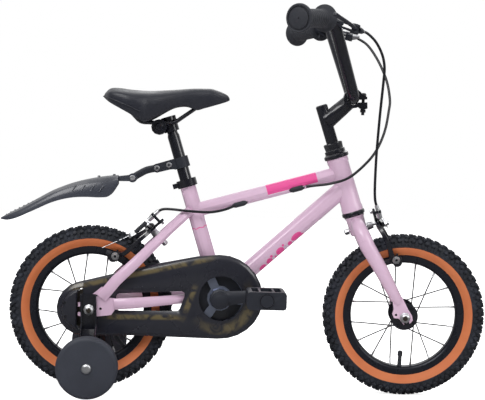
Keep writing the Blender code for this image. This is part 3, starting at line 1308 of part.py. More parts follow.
def build_seat_collar(root):
    top = SEAT_LENGTH + 1.0
    ring = rod(on_seat(top - COLLAR_HEIGHT), on_seat(top), COLLAR_RADIUS, 16)
    ears = block((-6.0, -9.0, -4.5), (6.0, 9.0, 4.5))
    matrix = Matrix((SEAT_BACK, Y_AXIS, SEAT_Z)).transposed().to_4x4()
    matrix.translation = on_seat(top - COLLAR_HEIGHT / 2, COLLAR_RADIUS + 2.0)
    ears = moved(ears, matrix)
    slit = moved(block((-15.0, -1.2, -20.0), (10.0, 1.2, 20.0)), matrix)
    collar = join(ring, ears)
    collar = cut(collar, rod(on_seat(top - 40.0), on_seat(top + 20.0), SEAT_RADIUS + CLEAR), slit)
    bolt_place = matrix.translation
    bolt = turned([(-11.5, 3.8), (-8.0, 4.2), (-8.0, 2.6), (8.0, 2.6), (8.0, 4.4, "hex"), (12.0, 4.4, "hex")],
                  SMALL_SIDES, start=bolt_place)
    make("seat_collar", join(collar, bolt), "black_paint", root)


def build_seatpost(post):
    body = turned([(POST_BOTTOM, POST_RADIUS), (POST_SHOULDER - 5.0, POST_RADIUS),
                   (POST_SHOULDER, POST_NECK_RADIUS), (POST_TOP, POST_NECK_RADIUS)],
                  SIDES, start=BOTTOM_BRACKET, direction=SEAT_Z)
    make("seatpost", body, "black_paint", post)


def clamp_centre():
    return on_seat(CLAMP_ALONG, CLAMP_BEHIND)


def build_saddle_clamp(post):
    """A clamp round the post's neck with a barrel behind it that grips both rails."""
    centre = clamp_centre()
    half = RAIL_SPREAD - RAIL_RADIUS - CLEAR
    barrel = rod(centre - Y_AXIS * half, centre + Y_AXIS * half, SADDLE_CLAMP_RADIUS, SIDES)
    sleeve = rod(on_seat(CLAMP_ALONG - 14.0), on_seat(CLAMP_ALONG + 14.0), POST_NECK_RADIUS + 4.5, SIDES)
    clamp = join(barrel, sleeve)
    clamp = cut(clamp, rod(on_seat(CLAMP_ALONG - 30.0), on_seat(CLAMP_ALONG + 30.0), POST_NECK_RADIUS + CLEAR))
    far = RAIL_SPREAD + RAIL_RADIUS + CLEAR
    bolt = turned([(-far - 8.0, 6.0), (-far - 4.0, 7.5), (-far - 4.0, SADDLE_CLAMP_RADIUS),
                   (-far, SADDLE_CLAMP_RADIUS), (-far, 4.0), (far, 4.0), (far, SADDLE_CLAMP_RADIUS),
                   (far + 4.0, SADDLE_CLAMP_RADIUS), (far + 4.0, 7.5), (far + 8.0, 6.0)],
                  SIDES, start=centre)
    make("saddle_clamp", join(clamp, bolt), "black_paint", post)


def saddle_stations():
    """Along, top, skirt, half width and depth of the middle, from tail to nose."""
    return [
        (14.5, 541.0, 534.0, 30.0, 6.0),
        (26.0, 551.6, 524.5, 60.0, 15.0),
        (44.0, 552.6, 514.5, 70.5, 19.5),
        (64.0, 550.4, 504.0, 75.0, 21.0),
        (88.0, 549.2, 491.0, 71.0, 22.0),
        (106.0, 549.6, 497.5, 58.0, 22.0),
        (136.0, 552.2, 514.0, 37.0, 22.0),
        (182.0, 556.8, 519.5, 23.5, 22.0),
        (214.0, 556.6, 526.5, 20.5, 20.0),
        (238.0, 547.6, 534.0, 12.5, 9.0),
        (244.5, 540.0, 537.0, 4.0, 2.0),
    ]


def saddle_ring(station, outer):
    """A section of the cushion, or of the base that fills its hollow."""
    x, top, skirt, half, depth = station
    wall = 4.0
    under = top - depth
    if outer:
        crown = [(0.0, top - 0.6), (0.28, top), (0.62, top - 1.6), (0.88, top - 7.0),
                 (1.0, top - (top - skirt) * 0.55), (0.95, skirt)]
        hollow = [(0.88, skirt + 1.5), (0.72, under - (under - skirt) * 0.35), (0.4, under)]
        right = [(-part * half, z) for part, z in crown + hollow]
        left = [(part * half, z) for part, z in reversed(crown[1:] + hollow)]
        return [Vector((x, y, z)) for y, z in right + left]
    gap = 0.95
    shape = [(0.0, under - gap), (0.38, under - gap), (0.56, under - gap - (under - skirt) * 0.26)]
    low = [(0.56, under - gap - (under - skirt) * 0.26 - wall), (0.36, under - gap - wall), (0.0, under - gap - wall)]
    right = [(-part * half, z) for part, z in shape + low]
    left = [(part * half, z) for part, z in list(reversed(shape[1:] + low[:-1]))]
    return [Vector((x, y, z)) for y, z in right + left]


def build_saddle(saddle, pivot):
    shift = at(-pivot)
    stations = saddle_stations()
    cover = rings_solid([saddle_ring(station, True) for station in stations])
    make("saddle_cover", moved(cover, shift), "saddle_vinyl", saddle, 60.0)
    base = rings_solid([saddle_ring(station, False) for station in stations[1:-1]])
    tail_x, nose_x = 46.0, 198.0
    for side in (-1, 1):
        y = RAIL_SPREAD * side
        boss = block((tail_x - 14.0, min(y - 6, y + 6), 512.0), (tail_x, max(y - 6, y + 6), 531.0))
        base = join(base, boss)
    base = join(base, block((nose_x, -9.0, 521.0), (nose_x + 16.0, 9.0, 533.0)))
    make("saddle_base", moved(base, shift), "black_plastic", saddle)
    centre = clamp_centre()
    level = centre.z + 4.0 + RAIL_RADIUS + 0.6
    half = [Vector((tail_x + 3 * CLEAR, RAIL_SPREAD, 517.5)), Vector((tail_x + 12.0, RAIL_SPREAD, 516.0)),
            Vector((82.0, RAIL_SPREAD, level)), Vector((143.0, RAIL_SPREAD, level)),
            Vector((190.0, 5.5, 526.0)), Vector((nose_x - RAIL_RADIUS - CLEAR, 3.0, 526.5))]
    path = bent_path(half, (8.0, 14.0, 16.0, 8.0), 2)
    whole = path + [on_side(point, -1) for point in reversed(path)]
    rails = sweep(whole, RAIL_RADIUS, 6, (0.0, 0.0, 1.0))
    make("saddle_rails", moved(rails, shift), "black_paint", saddle, 60.0)


# Mudguard

def flat_bar(points, widths):
    return arm_outline(points, widths)


def build_mudguard(post, link, blade):
    matrix = Matrix((SEAT_BACK, Y_AXIS, SEAT_Z)).transposed().to_4x4()
    band = rod(on_seat(STRAP_AT - STRAP_HEIGHT / 2), on_seat(STRAP_AT + STRAP_HEIGHT / 2), STRAP_RADIUS)
    start = on_seat(STRAP_AT, 8.0)
    arm = prism(flat_bar([(start.x, start.z), (136.2, 414.5), (LINK_PIVOT.x, LINK_PIVOT.z)], [10.0, 8.5, 8.0]),
                -LINK_WIDTH / 2 - CLEAR - 4.0, LINK_WIDTH / 2 + CLEAR + 4.0)
    end = rod(LINK_PIVOT - Y_AXIS * (LINK_WIDTH / 2 + CLEAR + 4.0), LINK_PIVOT + Y_AXIS * (LINK_WIDTH / 2 + CLEAR + 4.0),
              8.5, SMALL_SIDES)
    strap = join(band, arm, end)
    room = LINK_WIDTH / 2 + CLEAR
    mouth = rod(LINK_PIVOT - Y_AXIS * room, LINK_PIVOT + Y_AXIS * room, 10.0, SMALL_SIDES)
    reach = block((LINK_PIVOT.x - 30.0, -room, LINK_PIVOT.z - 30.0), (LINK_PIVOT.x, room, LINK_PIVOT.z + 30.0))
    bore = rod(on_seat(STRAP_AT - 40.0), on_seat(STRAP_AT + 40.0), POST_RADIUS + CLEAR)
    strap = cut(strap, mouth, reach, bore)
    ear = LINK_WIDTH / 2 + CLEAR + 4.0
    def pin(place):
        return turned([(-ear - 2.0, 4.0), (-ear + 0.5, 5.0), (-ear + 0.5, 2.6), (ear - 0.5, 2.6),
                       (ear - 0.5, 5.0), (ear + 2.0, 4.0)], 8, start=place)
    strap = join(strap, pin(LINK_PIVOT), pin(Vector((136.2, 0.0, 414.5))))
    make("mudguard_strap", strap, "black_plastic", post)
    offset = BLADE_PIVOT - LINK_PIVOT
    middle = (offset.x * 0.52, offset.z * 0.34)
    bar = prism(flat_bar([(0.0, 0.0), middle, (offset.x, offset.z)], [7.0, 7.5, 7.0]),
                -LINK_WIDTH / 2, LINK_WIDTH / 2)
    for place in (Vector(), offset):
        bar = join(bar, rod(place - Y_AXIS * LINK_WIDTH / 2, place + Y_AXIS * LINK_WIDTH / 2, 8.2, SMALL_SIDES))
    for place in (Vector(), offset):
        bar = cut(bar, rod(place - Y_AXIS * 20.0, place + Y_AXIS * 20.0, 2.6 + CLEAR, 8))
    make("mudguard_link", bar, "black_plastic", link)
    stations = [(44.0, 392.5, 371.0, 24.0), (24.0, 391.0, 352.5, 31.0), (-20.0, 382.4, 352.2, 33.8),
                (-66.0, 366.0, 344.0, 34.4), (-104.0, 345.6, 327.0, 32.0),
                (-136.0, 327.2, 311.8, 27.0), (-155.0, 317.4, 305.0, 19.0), (-169.5, 309.3, 306.0, 6.0)]
    rings = []
    for x, ridge, edge, half in stations:
        fall = ridge - edge
        over = [(1.0, edge), (0.86, ridge - fall * 0.52), (0.5, ridge - fall * 0.14), (0.0, ridge)]
        wall = BLADE_WALL if half > 10.0 else 1.0
        outer = [(-part * half, z) for part, z in over] + [(part * half, z) for part, z in reversed(over[:-1])]
        shrink = (half - wall) / half
        inner = [(y * shrink, z - wall) for y, z in reversed(outer)]
        inner[0] = (inner[0][0], edge)
        inner[-1] = (inner[-1][0], edge)
        rings.append([Vector((x, y, z)) for y, z in outer + inner])
    guard = rings_solid(rings)
    ears = prism(flat_bar([(22.0, 385.5), (46.0, 387.0), (BLADE_PIVOT.x, BLADE_PIVOT.z)], [3.5, 4.5, 6.5]),
                 -ear, ear)
    knuckle = rod(BLADE_PIVOT - Y_AXIS * ear, BLADE_PIVOT + Y_AXIS * ear, 8.5, SMALL_SIDES)
    neck = join(ears, knuckle)
    mouth = rod(BLADE_PIVOT - Y_AXIS * room, BLADE_PIVOT + Y_AXIS * room, 9.5, SMALL_SIDES)
    reach = block((BLADE_PIVOT.x, -room, BLADE_PIVOT.z - 30.0), (BLADE_PIVOT.x + 30.0, room, BLADE_PIVOT.z + 30.0))
    neck = join(cut(neck, mouth, reach), pin(BLADE_PIVOT))
    make("mudguard_blade", moved(join(guard, neck), at(-BLADE_PIVOT)), "black_plastic", blade, 50.0)
    return matrix


# Stabilisers

def build_stabiliser(side, root, wheel):
    name = "left" if side > 0 else "right"
    inner = DROPOUT_FACE + DROPOUT_THICKNESS + CLEAR
    t = BRACKET_THICKNESS
    arm_end = STABILISER_Y - STABILISER_WIDTH / 2 - CLEAR - 2.0
    profile = [(inner, BRACKET_TOP), (inner, 112.0), (arm_end - t, 84.0), (arm_end - t, STABILISER_Z - 15.0),
               (arm_end, STABILISER_Z - 15.0), (arm_end, 86.6), (inner + t, 115.0), (inner + t, BRACKET_TOP)]
    half = BRACKET_WIDTH / 2
    plate = prism(profile, -half, half, "YZ")
    for edge in (-1, 1):
        near, far = sorted((edge * half, edge * (half - t)))
        flange = prism([(inner + 0.5, 178.5), (inner + 0.5, 112.5), (arm_end - 2.0, 84.5),
                        (arm_end - 2.0, 70.0), (arm_end - 0.5, 70.0), (arm_end - 0.5, 96.0),
                        (inner + t + 6.0, 125.0), (inner + t + 4.0, 178.0)], near + 0.1 * (edge < 0), far, "YZ")
        plate = join(plate, flange)
    lean = Matrix.Identity(4)
    lean[0][2] = -BRACKET_LEAN
    lean[0][3] = BRACKET_TOP_X + BRACKET_LEAN * BRACKET_TOP
    plate = moved(plate, lean)
    hole = rod(REAR_AXLE + Y_AXIS * (inner - 10.0), REAR_AXLE + Y_AXIS * (inner + 20.0), AXLE_RADIUS + CLEAR,
               SMALL_SIDES)
    plate = cut(plate, hole)
    centre = Vector((STABILISER_X, 0.0, STABILISER_Z))
    far = STABILISER_Y + STABILISER_WIDTH / 2
    bolt = turned([(arm_end - t - 6.0, 6.5, "hex"), (arm_end - t + 1.0, 6.5, "hex"), (arm_end - t + 1.0, 4.0),
                   (arm_end + 1.0, 4.0), (arm_end + 1.0, 8.0), (arm_end + 2.0, 8.0), (arm_end + 2.0, 4.0),
                   (far - 6.0 + CLEAR, 4.0), (far - 6.0 + CLEAR, 8.0), (far - 3.5, 8.0), (far - 3.5, 6.0, "hex"),
                   (far + 1.0, 6.0, "hex")], SMALL_SIDES, start=centre)
    bracket = join(plate, bolt)
    make("stabiliser_bracket_" + name, sided(bracket, side), "black_paint", root)
    radius = STABILISER_RADIUS
    w = STABILISER_WIDTH / 2
    bore = 4.5
    profile = [(-w, bore), (-w, 12.0), (-w + 5.0, 14.0), (-w + 5.0, radius - 16.0), (-w, radius - 13.0),
               (-w, radius - 5.0), (-w + 4.0, radius), (w - 4.0, radius), (w, radius - 5.0),
               (w - 3.0, radius - 14.0), (w - 1.0, 12.0), (w - 6.0, 11.0), (w - 6.0, bore)]
    disc = turned(profile, 20, True)
    make("stabiliser_wheel_" + name, sided(disc, side), "black_plastic", wheel)


# Cables

def smooth_route(points, spacing):
    """Points at even steps along a smooth curve through the route's own points."""
    points = [Vector(point) for point in points]
    dense = []
    for index in range(len(points) - 1):
        p0 = points[index - 1] if index else points[0] * 2 - points[1]
        p1, p2 = points[index], points[index + 1]
        p3 = points[index + 2] if index + 2 < len(points) else points[-1] * 2 - points[-2]
        for step in range(12):
            t = step / 12
            dense.append(0.5 * (2 * p1 + (p2 - p0) * t + (2 * p0 - 5 * p1 + 4 * p2 - p3) * t**2
                                + (3 * p1 - p0 - 3 * p2 + p3) * t**3))
    dense.append(points[-1])
    total = sum((b - a).length for a, b in zip(dense, dense[1:]))
    count = max(2, round(total / spacing))
    even = [dense[0]]
    run, target = 0.0, total / count
    for a, b in zip(dense, dense[1:]):
        length = (b - a).length
        while run + length >= target and len(even) < count:
            even.append(a.lerp(b, (target - run) / length))
            target += total / count
        run += length
    return even + [dense[-1]]


def build_cable(name, route, parent, spacing):
    curve = bpy.data.curves.new(name, "CURVE")
    curve.dimensions = "3D"
    curve.bevel_depth = CABLE_RADIUS * MM
    curve.bevel_resolution = 2
    curve.use_fill_caps = True
    points = [Vector(route[0])] + smooth_route(route[1:-1], spacing) + [Vector(route[-1])]
    spline = curve.splines.new("POLY")
    spline.points.add(len(points) - 1)
    for point, place in zip(spline.points, points):
        point.co = (*(place * MM), 1.0)
    curve.materials.append(material("cable_sleeve"))
    made = bpy.data.objects.new(name, curve)
    bpy.context.scene.collection.objects.link(made)
    made.parent = parent
    return made


def cable_route_front():
    """The front brake cable, in the steering's frame, from the right lever to the front brake."""
    start = on_side(HOUSING_EXIT, -1)
    leave = (start - on_side(LEVER_PIVOT, -1)).normalized()
    brake_top = Vector((ARM_PLANE + 9.5, -CABLE_SIDE, -FRONT_BRAKE_DROP + 35.0 + CABLE_END_GAP))
    return [start + leave * CABLE_END_GAP, start + leave * 8.0, (126.0, -76.0, 284.0), (131.0, -66.0, 259.0),
            (128.0, -58.0, 238.0), (119.5, -51.0, 215.4), (100.0, -39.0, 165.7), (71.0, -26.5, 97.6),
            (50.0, -21.5, 32.0), brake_top + Vector((0.6, 0.0, 8.0)), brake_top]


def to_world(steering_matrix, point):
    return steering_matrix @ Vector(point)


def build_rear_cable(root, steering_matrix, brake_matrix):
    exit_point = HOUSING_EXIT
    leave = (exit_point - LEVER_PIVOT).normalized()
    start = [to_world(steering_matrix, exit_point + leave * CABLE_END_GAP), to_world(steering_matrix, exit_point + leave * 8.0)]
    free = [(524.0, 73.0, 630.5), (536.0, 59.0, 602.7), (542.7, 46.0, 577.0), (546.0, 33.0, 548.1),
            (543.9, 24.0, 529.5), (534.8, 8.0, 489.4), (518.0, -8.0, 452.7), (495.3, -21.0, 425.4)]
    hand = 1.0
    top = brake_matrix @ Vector((9.5, CABLE_SIDE * hand, 35.0 + CABLE_END_GAP))
    above = brake_matrix @ Vector((9.5, CABLE_SIDE * hand, 43.0))
    build_cable("rear_brake_cable", start + free + cable_route_rear() + [above, top], root, CABLE_STEP)


def main():
    for old in list(bpy.data.objects):
        bpy.data.objects.remove(old)
    root = empty("bike", at(Vector((-ORIGIN_X, 0.0, 0.0))))
    tilt = Matrix.Rotation(-HEAD_ANGLE, 4, "Y")
    steering_matrix = at(HEAD_BASE) @ tilt @ Matrix.Rotation(STEER_REST, 4, "Z")
    steering = empty("steering_axis", steering_matrix, root)

    build_frame(root)
    build_grommets(root)
    build_headset(root, steering)
    build_bottom_bracket(root)
    build_fork(steering)
    build_stem(steering)
    build_handlebar(steering)
    build_grips(steering)
    for side in (-1, 1):
        build_lever(side, steering)

    front_axle = Vector((FORK_RAKE, 0.0, -FORK_LENGTH))
    front_wheel = empty("front_wheel_axis", at(front_axle), steering)
    none = Vector()
    build_tyre("front_tyre", front_wheel, none)
    build_rim("front_rim", front_wheel, none, -math.pi / 2 + HEAD_ANGLE)
    build_hub("front_hub", front_wheel, none, FRONT_FLANGE_OFFSET, FRONT_FLANGE_OFFSET, 36.0, 36.0,
              math.radians(11.25))
    fork_face = LEG_OFFSET - 1.0
    build_axle("front_axle", steering, front_axle, 36.0 + CLEAR, 36.0 + CLEAR, fork_face,
               fork_face + FORK_PLATE + CLEAR, 62.0)

    rear_wheel = empty("rear_wheel_axis", at(REAR_AXLE), root)
    build_tyre("rear_tyre", rear_wheel, none)
    build_rim("rear_rim", rear_wheel, none, math.radians(90.0))
    build_hub("rear_hub", rear_wheel, none, REAR_FLANGE_RIGHT, REAR_FLANGE_LEFT, 45.0, 43.0, 0.0)
    build_freewheel(rear_wheel, none)
    plate = DROPOUT_FACE + DROPOUT_THICKNESS + CLEAR + BRACKET_THICKNESS + CLEAR
    build_axle("rear_axle", root, REAR_AXLE, 45.0 + CLEAR, 43.0 + CLEAR, DROPOUT_FACE, plate, 76.0)

    crank_matrix = at(BOTTOM_BRACKET) @ Matrix.Rotation(-CRANK_REST, 4, "Y")
    crank = empty("crank_axis", crank_matrix, root)
    build_cranks(crank)
    build_chainring(crank)
    for side in (-1, 1):
        build_pedal(side, crank)
    build_chain(root)
    build_chain_case(root)

    front_brake = empty("front_brake_axis", at(Vector((ARM_PLANE, 0.0, -FRONT_BRAKE_DROP))), steering)
    crown = CROWN_RADIUS + CLEAR
    back = -ARM_PLANE - crown - 9.0
    build_brake("front", front_brake, -1, FRONT_PAD_DROP, back,
                [(0.0, BRAKE_BOLT_RADIUS), (2.0, 6.5, "hex"), (8.0, 6.5, "hex"), (9.0, 8.0),
                 (9.01, BRAKE_BOLT_RADIUS), (9.0 + 2 * crown, BRAKE_BOLT_RADIUS), (9.01 + 2 * crown, 8.5),
                 (-back - ARM_THICKNESS - 0.45, 7.0), (-back - ARM_THICKNESS - 0.44, BRAKE_BOLT_RADIUS),
                 (-back + ARM_THICKNESS + 0.45, BRAKE_BOLT_RADIUS), (-back + ARM_THICKNESS + 0.46, 8.0),
                 (-back + ARM_THICKNESS + 5.0, 7.0), (-back + ARM_THICKNESS + 9.0, 4.0)])

    bridge = bridge_place()
    bolt = rear_brake_axis()
    plane = BRIDGE_RADIUS + CLEAR + 16.0
    brake_origin = Vector((bridge.x, 0.0, bridge.z)) + bolt * plane
    up = Vector((bolt.z, 0.0, -bolt.x))
    brake_matrix = Matrix((bolt, up.cross(bolt), up)).transposed().to_4x4()
    brake_matrix.translation = brake_origin
    rear_brake = empty("rear_brake_axis", brake_matrix, root)
    seat = BRIDGE_RADIUS + CLEAR
    back = -plane - seat - 9.0
    build_brake("rear", rear_brake, 1, REAR_PAD_DROP, back,
                [(0.0, BRAKE_BOLT_RADIUS), (2.0, 6.5, "hex"), (8.0, 6.5, "hex"), (9.0, 8.0),
                 (9.01, BRAKE_BOLT_RADIUS), (9.0 + 2 * seat, BRAKE_BOLT_RADIUS), (9.01 + 2 * seat, 8.5),
                 (-back - ARM_THICKNESS - 0.45, 7.0), (-back - ARM_THICKNESS - 0.44, BRAKE_BOLT_RADIUS),
                 (-back + ARM_THICKNESS + 0.45, BRAKE_BOLT_RADIUS), (-back + ARM_THICKNESS + 0.46, 8.0),
                 (-back + ARM_THICKNESS + 5.0, 7.0), (-back + ARM_THICKNESS + 9.0, 4.0)])

    build_seat_collar(root)
    post = empty("seatpost_slide", at(none), root)
    build_seatpost(post)
    build_saddle_clamp(post)
    pivot = clamp_centre()
    saddle = empty("saddle_axis", at(pivot), post)
    build_saddle(saddle, pivot)
    link = empty("mudguard_link_axis", at(LINK_PIVOT), post)
    blade = empty("mudguard_blade_axis", at(BLADE_PIVOT - LINK_PIVOT), link)
    build_mudguard(post, link, blade)
    for side in (-1, 1):
        place = Vector((STABILISER_X, STABILISER_Y * side, STABILISER_Z))
        wheel = empty("stabiliser_wheel_%s_axis" % ("left" if side > 0 else "right"), at(place), root)
        build_stabiliser(side, root, wheel)
    build_cable("front_brake_cable", cable_route_front(), steering, CABLE_STEP)
    build_rear_cable(root, steering_matrix, brake_matrix)


main()
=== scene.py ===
import json
import math
import bmesh
import bpy
from mathutils import Matrix, Vector


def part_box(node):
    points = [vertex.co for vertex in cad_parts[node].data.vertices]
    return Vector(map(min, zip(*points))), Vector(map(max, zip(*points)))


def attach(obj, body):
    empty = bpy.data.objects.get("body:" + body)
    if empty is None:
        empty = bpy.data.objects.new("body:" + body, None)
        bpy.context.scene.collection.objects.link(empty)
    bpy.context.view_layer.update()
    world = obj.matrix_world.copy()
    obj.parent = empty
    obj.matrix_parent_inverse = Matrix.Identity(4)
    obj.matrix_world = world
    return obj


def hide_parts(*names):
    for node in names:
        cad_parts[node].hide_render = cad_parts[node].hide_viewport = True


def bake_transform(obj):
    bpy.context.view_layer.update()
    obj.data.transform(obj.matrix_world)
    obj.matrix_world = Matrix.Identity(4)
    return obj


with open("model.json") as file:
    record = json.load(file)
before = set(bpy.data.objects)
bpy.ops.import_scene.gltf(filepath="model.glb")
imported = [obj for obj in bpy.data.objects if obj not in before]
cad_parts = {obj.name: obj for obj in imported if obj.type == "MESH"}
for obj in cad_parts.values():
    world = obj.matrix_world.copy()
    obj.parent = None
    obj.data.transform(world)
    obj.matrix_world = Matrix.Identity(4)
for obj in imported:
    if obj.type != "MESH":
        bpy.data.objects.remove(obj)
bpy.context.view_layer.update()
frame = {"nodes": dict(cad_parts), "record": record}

record = frame["record"]
bodyOfNode = {node: body for body, nodes in record["behaviour"]["bodies"].items() for node in nodes}

# Sizes are in millimetres from the rear tyre's foot, as on the bicycle's drawing.
bike = {"midLength": 279.7, "headFoot": (479.2, 0.0, 339.2), "headAngle": 18.56, "turn": 4.17,
        "frontAxle": (34.3, 0.0, -211.1), "rearAxle": (0.0, 0.0, 150.0), "shell": (235.8, 0.0, 175.0),
        "crankAxle": (235.76, 0.0, 175.0), "crankAngle": 7.6, "frontBrake": (34.0, 0.0, -34.0),
        "rearBrake": (106.317, 0.0, 296.683), "rearBrakeAngle": 45.0}
worldPlace = Matrix.Scale(0.001, 4) @ Matrix.Translation((-bike["midLength"], 0.0, 0.0))
steerPlace = (worldPlace @ Matrix.Translation(bike["headFoot"])
              @ Matrix.Rotation(math.radians(-bike["headAngle"]), 4, "Y")
              @ Matrix.Rotation(math.radians(-bike["turn"]), 4, "Z"))
frontWheelPlace = steerPlace @ Matrix.Translation(bike["frontAxle"])
rearWheelPlace = worldPlace @ Matrix.Translation(bike["rearAxle"])
crankPlace = (worldPlace @ Matrix.Translation(bike["crankAxle"])
              @ Matrix.Rotation(math.radians(-bike["crankAngle"]), 4, "Y"))


# Materials

def linear(hexText):
    values = [int(hexText[i:i + 2], 16) / 255 for i in (1, 3, 5)]
    return [v / 12.92 if v <= 0.04045 else ((v + 0.055) / 1.055) ** 2.4 for v in values] + [1.0]


def setInputs(tree, node, inputs):
    # a value is a number, a colour, a socket, or a node, which gives its first live output
    for key, value in inputs.items():
        if isinstance(value, bpy.types.Node):
            value = next(socket for socket in value.outputs if socket.enabled)
        if isinstance(value, bpy.types.NodeSocket):
            tree.links.new(value, node.inputs[key])
        else:
            node.inputs[key].default_value = value


def addNode(tree, kind, inputs=None, **settings):
    node = tree.nodes.new("ShaderNode" + kind)
    for key, value in settings.items():
        setattr(node, key, value)
    setInputs(tree, node, inputs or {})
    return node


def newMaterial(name, colour, inputs):
    material = bpy.data.materials.new(name)
    material.use_nodes = True
    tree = material.node_tree
    shader = tree.nodes["Principled BSDF"]
    setInputs(tree, shader, {"Base Color": linear(colour), **inputs})
    return material, tree, shader, addNode(tree, "TexCoord").outputs["Object"]


def addGrain(tree, shader, place, grainMm, depthMm, roughLow, roughHigh, smearMm=35.0):
    # fine bump plus slow change of gloss, both worked out from real sizes
    fine = addNode(tree, "TexNoise", {"Vector": place, "Scale": 1000.0 / grainMm, "Detail": 3.0,
                                      "Roughness": 0.6})
    bump = addNode(tree, "Bump", {"Height": fine, "Distance": depthMm / 1000.0, "Strength": 1.0})
    slow = addNode(tree, "TexNoise", {"Vector": place, "Scale": 1000.0 / smearMm, "Detail": 4.0})
    gloss = addNode(tree, "MapRange", {"Value": slow, "From Min": 0.3, "From Max": 0.7,
                                       "To Min": roughLow, "To Max": roughHigh})
    shader.inputs["Roughness"].default_value = (roughLow + roughHigh) / 2
    setInputs(tree, shader, {"Normal": bump, "Roughness": gloss})


def addPatches(tree, shader, place, scale, detail, low, high, first, second):
    # the colour drifts between two tones
    noise = addNode(tree, "TexNoise", {"Vector": place, "Scale": scale, "Detail": detail})
    amount = addNode(tree, "MapRange", {"Value": noise, "From Min": low, "From Max": high})
    tone = addNode(tree, "Mix", {0: amount, 6: linear(first), 7: linear(second)}, data_type="RGBA")
    setInputs(tree, shader, {"Base Color": tone})
    return tone


def plainMaterial(name, colour, inputs, grain, patches=()):
    material, tree, shader, place = newMaterial(name, colour, inputs)
    addGrain(tree, shader, place, *grain)
    if patches:
        addPatches(tree, shader, place, *patches)
    return material


def twoWays(tree, place, start, direction):
    # millimetres from a point of the drawing, along a direction and square to it, upward
    along = Vector(direction).normalized()
    found = []
    for way in (along, Vector((-along.z, 0.0, along.x))):
        dot = addNode(tree, "VectorMath", {0: place, 1: way * 1000}, operation="DOT_PRODUCT")
        away = (worldPlace @ Vector(start)).dot(way) * 1000
        found.append(addNode(tree, "Math", {0: dot, 1: away}, operation="SUBTRACT"))
    return found


def inside(tree, *limits):
    # 1 where each value lies between its two limits, and 0 outside them, with an edge that fades
    mask = 1.0
    for value, low, high, fade in limits:
        for edge, whole in ((low, low + fade), (high, high - fade)):
            step = addNode(tree, "MapRange", {"Value": value, "From Min": edge, "From Max": whole})
            mask = addNode(tree, "Math", {0: mask, 1: step}, operation="MULTIPLY")
    return mask


# each motif: how far up the down tube, how far off its middle, half length and half width
paint = {"pink": "#E2C3DA", "shade": "#DAB7D1", "magenta": "#EC4F9B", "paleTint": "#E7D3E3", "sharp": 0.01,
         "topTubeFoot": (202.0, 0.0, 337.5), "topTube": (0.9611, 0.0, 0.2762), "bandEnds": (121.0, 216.5),
         "band": (-6.2, 14.5), "bandEdge": (-7.8, -6.2), "downTube": (0.7357, 0.0, 0.6773),
         "seatTube": (-0.3024, 0.0, 0.9532), "line": (131.8, 133.4), "lineSides": (-15.2, 15.2),
         "ripple": (0.9, 1.3),
         "motifs": [(96.0, -12.5, 7.5, 4.5), (113.0, -12.0, 6.5, 5.5), (121.0, -7.0, 2.8, 2.6),
                    (127.0, -13.0, 2.4, 2.0), (140.0, -10.5, 8.5, 6.5), (150.5, -5.5, 2.4, 2.2),
                    (163.0, -11.5, 4.5, 4.0), (180.0, -9.0, 11.5, 5.5), (190.0, -14.5, 5.0, 3.5)]}


def framePaintMaterial():
    # powder coat under clear lacquer: soft gloss, faint orange peel, decals under the lacquer
    material, tree, shader, place = newMaterial("lilacPinkPowderCoat", paint["pink"],
                                                {"Coat Weight": 0.5, "Coat Roughness": 0.12})
    addGrain(tree, shader, place, 1.6, 0.012, 0.27, 0.38)
    body = addPatches(tree, shader, place, 9.0, 2.0, 0.0, 1.0, paint["pink"], paint["shade"])
    sharp = paint["sharp"]
    # band round the top tube, with a pale edge below it
    run, rise = twoWays(tree, place, paint["topTubeFoot"], paint["topTube"])
    band = inside(tree, (run, *paint["bandEnds"], sharp), (rise, *paint["band"], sharp))
    edge = inside(tree, (run, *paint["bandEnds"], sharp), (rise, *paint["bandEdge"], sharp))
    # round dots that climb the lower side of the down tube
    climb, lift = twoWays(tree, place, bike["shell"], paint["downTube"])
    spot = addNode(tree, "CombineXYZ", {"X": climb, "Y": lift})
    nearest = 9.0
    for up, off, long, wide in paint["motifs"]:
        shrink, centre = (1 / long, 1 / wide, 0.0), (-up / long, -off / wide, 0.0)
        stretched = addNode(tree, "VectorMath", {0: spot, 1: shrink, 2: centre}, operation="MULTIPLY_ADD")
        far = addNode(tree, "VectorMath", {0: stretched}, operation="LENGTH")
        nearest = addNode(tree, "Math", {0: nearest, 1: far}, operation="MINIMUM")
    dots = addNode(tree, "Math", {0: nearest, 1: 1.0}, operation="LESS_THAN")
    # thin wavy line round the seat tube above the stays' junction
    upTube, offTube = twoWays(tree, place, bike["shell"], paint["seatTube"])
    across = addNode(tree, "SeparateXYZ", {"Vector": place}).outputs["Y"]
    turns, height = paint["ripple"]
    wave = addNode(tree, "Math", {0: across, 1: turns * 1000}, operation="MULTIPLY")
    wave = addNode(tree, "Math", {0: wave}, operation="SINE")
    wave = addNode(tree, "Math", {0: wave, 1: height, 2: upTube}, operation="MULTIPLY_ADD")
    line = inside(tree, (wave, *paint["line"], sharp), (offTube, *paint["lineSides"], sharp))
    for mask, colour in ((edge, "paleTint"), (band, "magenta"), (dots, "magenta"), (line, "magenta")):
        body = addNode(tree, "Mix", {0: mask, 6: body, 7: linear(paint[colour])}, data_type="RGBA")
    setInputs(tree, shader, {"Base Color": body})
    return material


